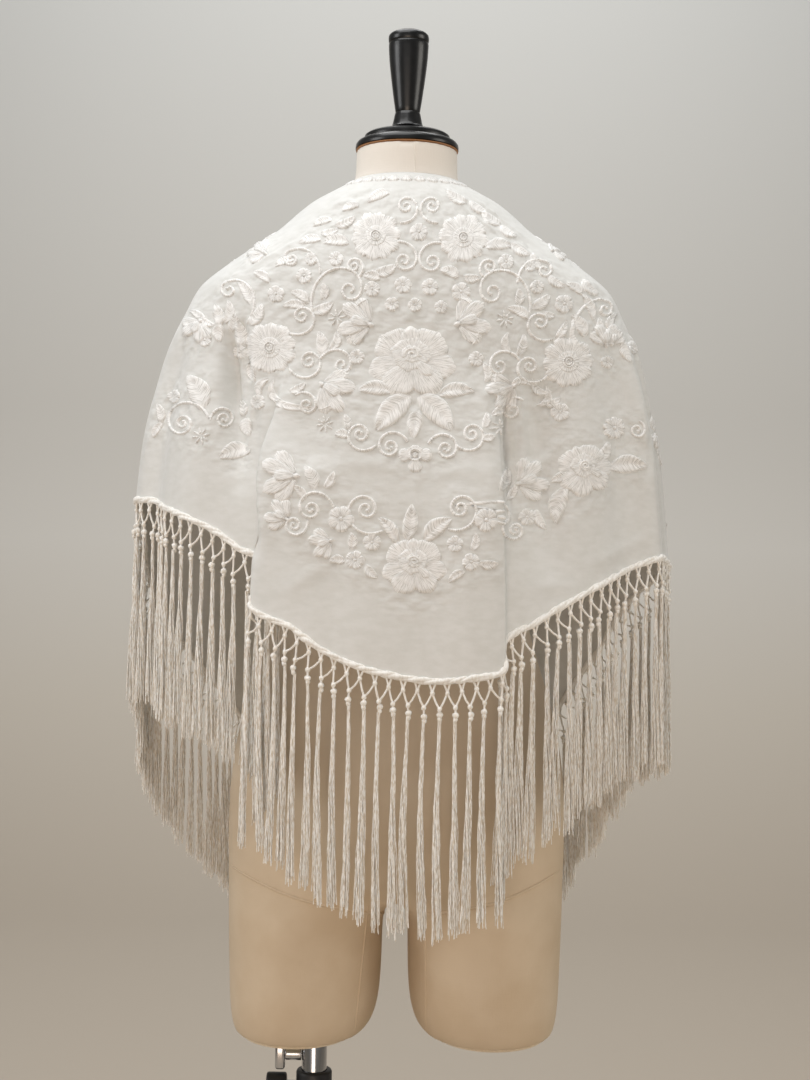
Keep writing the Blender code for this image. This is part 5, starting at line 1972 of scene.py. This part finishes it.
@dataclass
class Stand:
    """The sliding pole, its clamp, the outer tube and the round base."""

    chrome: Material
    enamel: Material
    plastic: Material
    board: Material
    pole_x: float = -0.0785
    pole_radius: float = 0.0125
    tube_radius: float = 0.0145
    tube_bore: float = 0.0130
    collar_radius: float = 0.0178
    fit: float = 0.0003

    @staticmethod
    def rims(shape: BMesh) -> list[Edge]:
        """The level edges of an upright bar or plate."""
        return [edge for edge in shape.edges if abs(edge.verts[0].co.z - edge.verts[1].co.z) < SAME_PLACE]

    @staticmethod
    def set_in_box(
        shape: BMesh,
        edges: list[Edge],
        corner: float,
        steps: int,
        name: str,
        node: str,
        finish: Material,
    ) -> Thing:
        """Round some edges of a shape in a number of steps and set it in the middle of a node's box."""
        low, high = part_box(node)
        rounding = {"segments": steps, "profile": 0.5, "affect": "EDGES", "material": -1}
        bmesh.ops.bevel(shape, geom=edges, offset=corner, **rounding)
        bmesh.ops.translate(shape, verts=shape.verts, vec=(low + high) / 2)
        return piece_from(shape, name, finish, node, sharp_angle=35.0)

    def rod(
        self, name: str, node: str, radius: float, corner: float, finish: Material, axis: Axis, sides: int
    ) -> Thing:
        """Make a round bar as long as a node's box, with rounded ends."""
        low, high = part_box(node)
        length = (high - low)[axis.value]
        shape = bmesh.new()
        sizes = {"radius1": radius, "radius2": radius, "depth": length}
        bmesh.ops.create_cone(shape, cap_ends=True, segments=sides, **sizes)
        rims = self.rims(shape)
        if axis is Axis.LEVEL:
            bmesh.ops.rotate(shape, verts=shape.verts, matrix=Matrix.Rotation(math.radians(90), 3, "Y"))
        return self.set_in_box(shape, rims, corner, 3, name, node, finish)

    def lever(self) -> Thing:
        """Make the flat lever with well rounded corners."""
        low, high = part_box("clamp_lever")
        shape = bmesh.new()
        bmesh.ops.create_cube(shape, size=1.0)
        bmesh.ops.scale(shape, verts=shape.verts, vec=high - low)
        return self.set_in_box(shape, shape.edges[:], 0.0028, 4, "steel_lever", "clamp_lever", self.chrome)

    def end_plate(self, side: str) -> Thing:
        """Make the oval board in a thigh end, with an eased edge."""
        node = f"end_plate_{side}"
        low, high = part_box(node)
        shape = bmesh.new()
        bmesh.ops.create_cone(shape, cap_ends=True, segments=64, radius1=0.5, radius2=0.5, depth=1.0)
        bmesh.ops.scale(shape, verts=shape.verts, vec=high - low)
        return self.set_in_box(shape, self.rims(shape), 0.0008, 2, f"board_{side}", node, self.board)

    def pole_and_clamp(self) -> list[Thing]:
        """Make the steel that rises with the form."""
        return [
            self.rod("chrome_pole", "sliding_pole", self.pole_radius, 0.0008, self.chrome, Axis.UPRIGHT, 48),
            self.rod("steel_screw", "clamp_screw", 0.0065, 0.0010, self.chrome, Axis.LEVEL, 32),
            self.lever(),
        ]

    def base(self) -> Thing:
        """Make the round base with its eased rim."""
        _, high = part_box("stand_base")
        rim, top = high.x, high.z
        profile = table(
            Turning,
            (0.0, top), (rim - 0.012, top), (rim - 0.006, top - 0.0008), (rim - 0.002, top - 0.0032),
            (rim, top - 0.0075), (rim, 0.0010), (rim - 0.001, 0.0), (0.0, 0.0),
        )
        return turned("enamelled_base", "stand_base", profile, self.enamel, 96)

    def foot(self) -> Thing:
        """Make the flared foot of the tube."""
        low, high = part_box("stand_foot")
        bore, rim = self.tube_radius + self.fit, 0.5 * (high.x - low.x)
        profile = table(
            Turning,
            (bore, high.z), (bore + 0.005, high.z), (bore + 0.007, high.z - 0.0020),
            (bore + 0.010, high.z - 0.0080), (rim - 0.002, low.z + 0.0058), (rim, low.z + 0.0042),
            (rim, low.z), (bore, low.z),
        )
        return self.round_the_pole("chrome_foot", "stand_foot", profile, self.chrome)

    def tube(self) -> Thing:
        """Make the outer tube."""
        low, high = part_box("stand_tube")
        bore, rim = self.tube_bore, self.tube_radius
        profile = table(
            Turning,
            (bore, high.z), (rim - 0.0003, high.z), (rim, high.z - 0.0003), (rim, low.z), (bore, low.z),
        )
        return self.round_the_pole("chrome_tube", "stand_tube", profile, self.chrome)

    def collar(self) -> Thing:
        """Make the collar, which sits over the tube's end and guides the pole."""
        low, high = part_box("stand_collar")
        wide, bore, rim = self.tube_radius + self.fit, self.tube_bore, self.collar_radius
        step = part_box("stand_tube")[1].z + self.fit
        profile = table(
            Turning,
            (bore, high.z), (rim - 0.0025, high.z), (rim - 0.0008, high.z - 0.0008),
            (rim, high.z - 0.0025), (rim, low.z + 0.0020), (rim - 0.001, low.z), (wide, low.z),
            (wide, step), (bore, step),
        )
        return self.round_the_pole("moulded_collar", "stand_collar", profile, self.plastic)

    def round_the_pole(self, name: str, node: str, profile: Sequence[Turning], finish: Material) -> Thing:
        """Spin a tube-like piece round the pole's axis."""
        return turned(name, node, profile, finish, closed=True, centre=(self.pole_x, 0.0))

    def still(self) -> list[Thing]:
        """Make what stays on the floor."""
        return [
            self.base(),
            self.foot(),
            self.tube(),
            self.collar(),
            self.rod("steel_stem", "knob_stem", 0.0035, 0.0004, self.chrome, Axis.LEVEL, 24),
            self.rod("moulded_knob", "stand_knob", 0.0110, 0.0022, self.plastic, Axis.LEVEL, 48),
        ]


class Softbox(NamedTuple):
    """A square soft light: its place, what it's aimed at, its size, power and colour."""

    name: str
    place: Triple
    aim: Triple
    size: float
    watts: float
    colour: str = "#FFFFFF"


SOFTBOXES = table(
    Softbox,
    ("ceiling softbox", (-0.35, -0.50, 3.1), (0.0, 0.0, 1.2), 1.8, 33.0),
    ("left softbox", (-2.7, -0.9, 2.0), (0.0, 0.0, 1.1), 1.3, 21.0),
    ("right softbox", (2.9, -0.7, 1.8), (0.0, 0.0, 1.1), 1.5, 24.0, "#FFFAF2"),
    ("front fill", (-0.6, -3.6, 1.3), (0.0, 0.0, 1.0), 2.6, 8.0),
    ("low fill", (-0.3, -2.6, 0.65), (0.0, 0.0, 0.8), 1.2, 14.5, "#FFE4CC"),
    ("wall wash", (0.0, 1.9, 4.8), (0.0, 4.6, 1.2), 3.0, 116.0),
)


@dataclass
class Studio:
    """The pale backdrop that turns into the floor, and the soft light from above."""

    wall_y: float = 4.6
    cove_radius: float = 1.6
    cove_steps: int = 12
    half_width: float = 7.0
    front_y: float = -5.0
    wall_top: float = 6.0
    ambient: str = "#E8E5DF"
    ambient_strength: float = 0.26

    @staticmethod
    def backdrop_material() -> Material:
        """Painted plaster: pale grey, with painted shade that makes it darker and warmer low down."""
        material, shader = principled("pale painted backdrop", {"Roughness": 0.85, "Specular IOR Level": 0.2})
        tree = material.node_tree
        # The ramp paints shade by height: darkest and warmest at the floor, lightest about a metre up, a
        # little greyer above.
        stops = ((0.0, "#B4AA9D"), (0.16, "#C4BDB2"), (0.34, "#D2CFC9"), (1.0, "#CCCDCB"))
        feed(shader, {"Base Color": add_ramp(tree, add_height(tree, 0.0, 3.2), stops)})
        return material

    def backdrop(self) -> None:
        """Make the swept backdrop from a bent grid."""
        shape = bmesh.new()
        bend = self.wall_y - self.cove_radius
        profile = [(self.front_y, 0.0), (bend, 0.0)]
        for share in shares(self.cove_steps)[1:]:
            down, out = around(self.cove_radius, 90 * share)
            profile.append((bend + out, self.cove_radius - down))
        profile.append((self.wall_y, self.wall_top))
        bmesh.ops.create_grid(shape, x_segments=4, y_segments=len(profile) - 1, size=1.0)
        for vert in shape.verts:
            row = round((1 + vert.co.y) / 2 * (len(profile) - 1))
            vert.co = Vector((vert.co.x * self.half_width, *profile[row]))
        piece_from(shape, "backdrop", self.backdrop_material())

    @staticmethod
    def area_light(box: Softbox) -> None:
        """Add a soft light."""
        data = bpy.data.lights.new(box.name, "AREA")
        data.shape = "SQUARE"
        data.size = box.size
        data.energy = box.watts
        data.color = linear(box.colour)[:3]
        light = bpy.data.objects.new(box.name, data)
        bpy.context.scene.collection.objects.link(light)
        direction = Vector(box.aim) - Vector(box.place)
        light.location = box.place
        light.rotation_euler = direction.to_track_quat("-Z", "Y").to_euler()

    def build(self) -> None:
        """Make the backdrop, the lights and the ambient light."""
        self.backdrop()
        for box in SOFTBOXES:
            self.area_light(box)
        world = bpy.data.worlds.new("studio air")
        world.use_nodes = True
        ambient = {"Color": linear(self.ambient), "Strength": self.ambient_strength}
        feed(world.node_tree.nodes["Background"], ambient)
        bpy.context.scene.world = world
        bpy.context.scene.view_settings.view_transform = "Standard"


def ride(things: Sequence[Thing], body: str) -> None:
    """Let pieces ride on a body."""
    for thing in things:
        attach(thing, body)


def worked_spots(drape: Drape, view: PhotoView, finish: Material) -> list[tuple[Vector, float]]:
    """Middle and reach of each motif, so that the cloth can pucker round it."""
    coarse = ShawlCloth(drape, view, finish, back_columns=60, front_columns=12, rows=40)
    plain = mesh_from(coarse.grid(), "plain drape")
    rough = Surface(plain)
    spots = [(motif.seat(rough, view).origin, motif.reach) for motif in Embroidery.seen()]
    spots += [(rough.seat_at(drape.point(spray.angle, spray.height)).origin, SPRAY_REACH) for spray in SPRAYS]
    bpy.data.meshes.remove(plain)
    return spots


def main() -> None:
    """Build the dressed model."""
    logging.basicConfig(level=logging.INFO, format="%(message)s")
    view = PhotoView()
    view.build()
    drape = Drape()
    crepe = SilkCrepe().build()
    floss = SatinStitch().build()
    # The cord's and the overcasting's two colours paint glints and shade along their threads as well, more
    # faintly.
    net_silk = FringeSilk("#FFFFFC", "#F3EDE2", "white silk cord", 1.2, 0.28).build()
    fringe_silk = FringeSilk().build()
    rope_silk = FringeSilk("#FBFAF6", "#EFECE5", "white silk overcasting", 2.2, 0.55, 3.0).build()
    canvas = FormCanvas().build()
    chrome = CHROME.build()

    cloth = ShawlCloth(drape, view, crepe)
    panel = cloth.build(worked_spots(drape, view, crepe))
    hem = HemLine(cloth.places(), cloth.hem_points(panel))
    needlework = Embroidery(Surface(panel.data), drape, view, floss).build()
    cloth.thicken(panel)
    edge = WhippedEdge(hem, rope_silk).build()
    nets, strands = [], []
    for name, first, last, fullness in STRETCHES:
        ends = (hem.length_at_angle(first), hem.length_at_angle(last))
        fringe = Fringe(name, hem, *ends, net_silk, fringe_silk, fullness)
        nets.append(fringe.net())
        strands.append(fringe.strands())
    ride([panel], "form")
    ride(needlework, "form")
    ride([edge, *nets, *strands], "form")

    form = DressForm(canvas).build()
    bpy.context.view_layer.update()
    rounded = bpy.data.meshes.new_from_object(form.evaluated_get(bpy.context.evaluated_depsgraph_get()))
    seams = FormSeams(Surface(rounded), view, canvas).build()
    bpy.data.meshes.remove(rounded)
    ride([form, seams], "form")
    ride(NeckCap(LACQUER.build(), BARE_BEECH.build()).build(), "form")

    stand = Stand(chrome, ENAMEL.build(), MOULDED_ABS.build(), PAINTED_BOARD.build())
    ride(stand.pole_and_clamp(), "form")
    ride([stand.end_plate("left"), stand.end_plate("right")], "form")
    base, foot, tube, collar, stem, knob = stand.still()
    ride([base], "stand")
    ride([foot, tube, stem], "stand")
    ride([collar, knob], "stand")
    Studio().build()

    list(needlework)
    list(nets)
    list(strands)


if __name__ == "__main__":
    main()
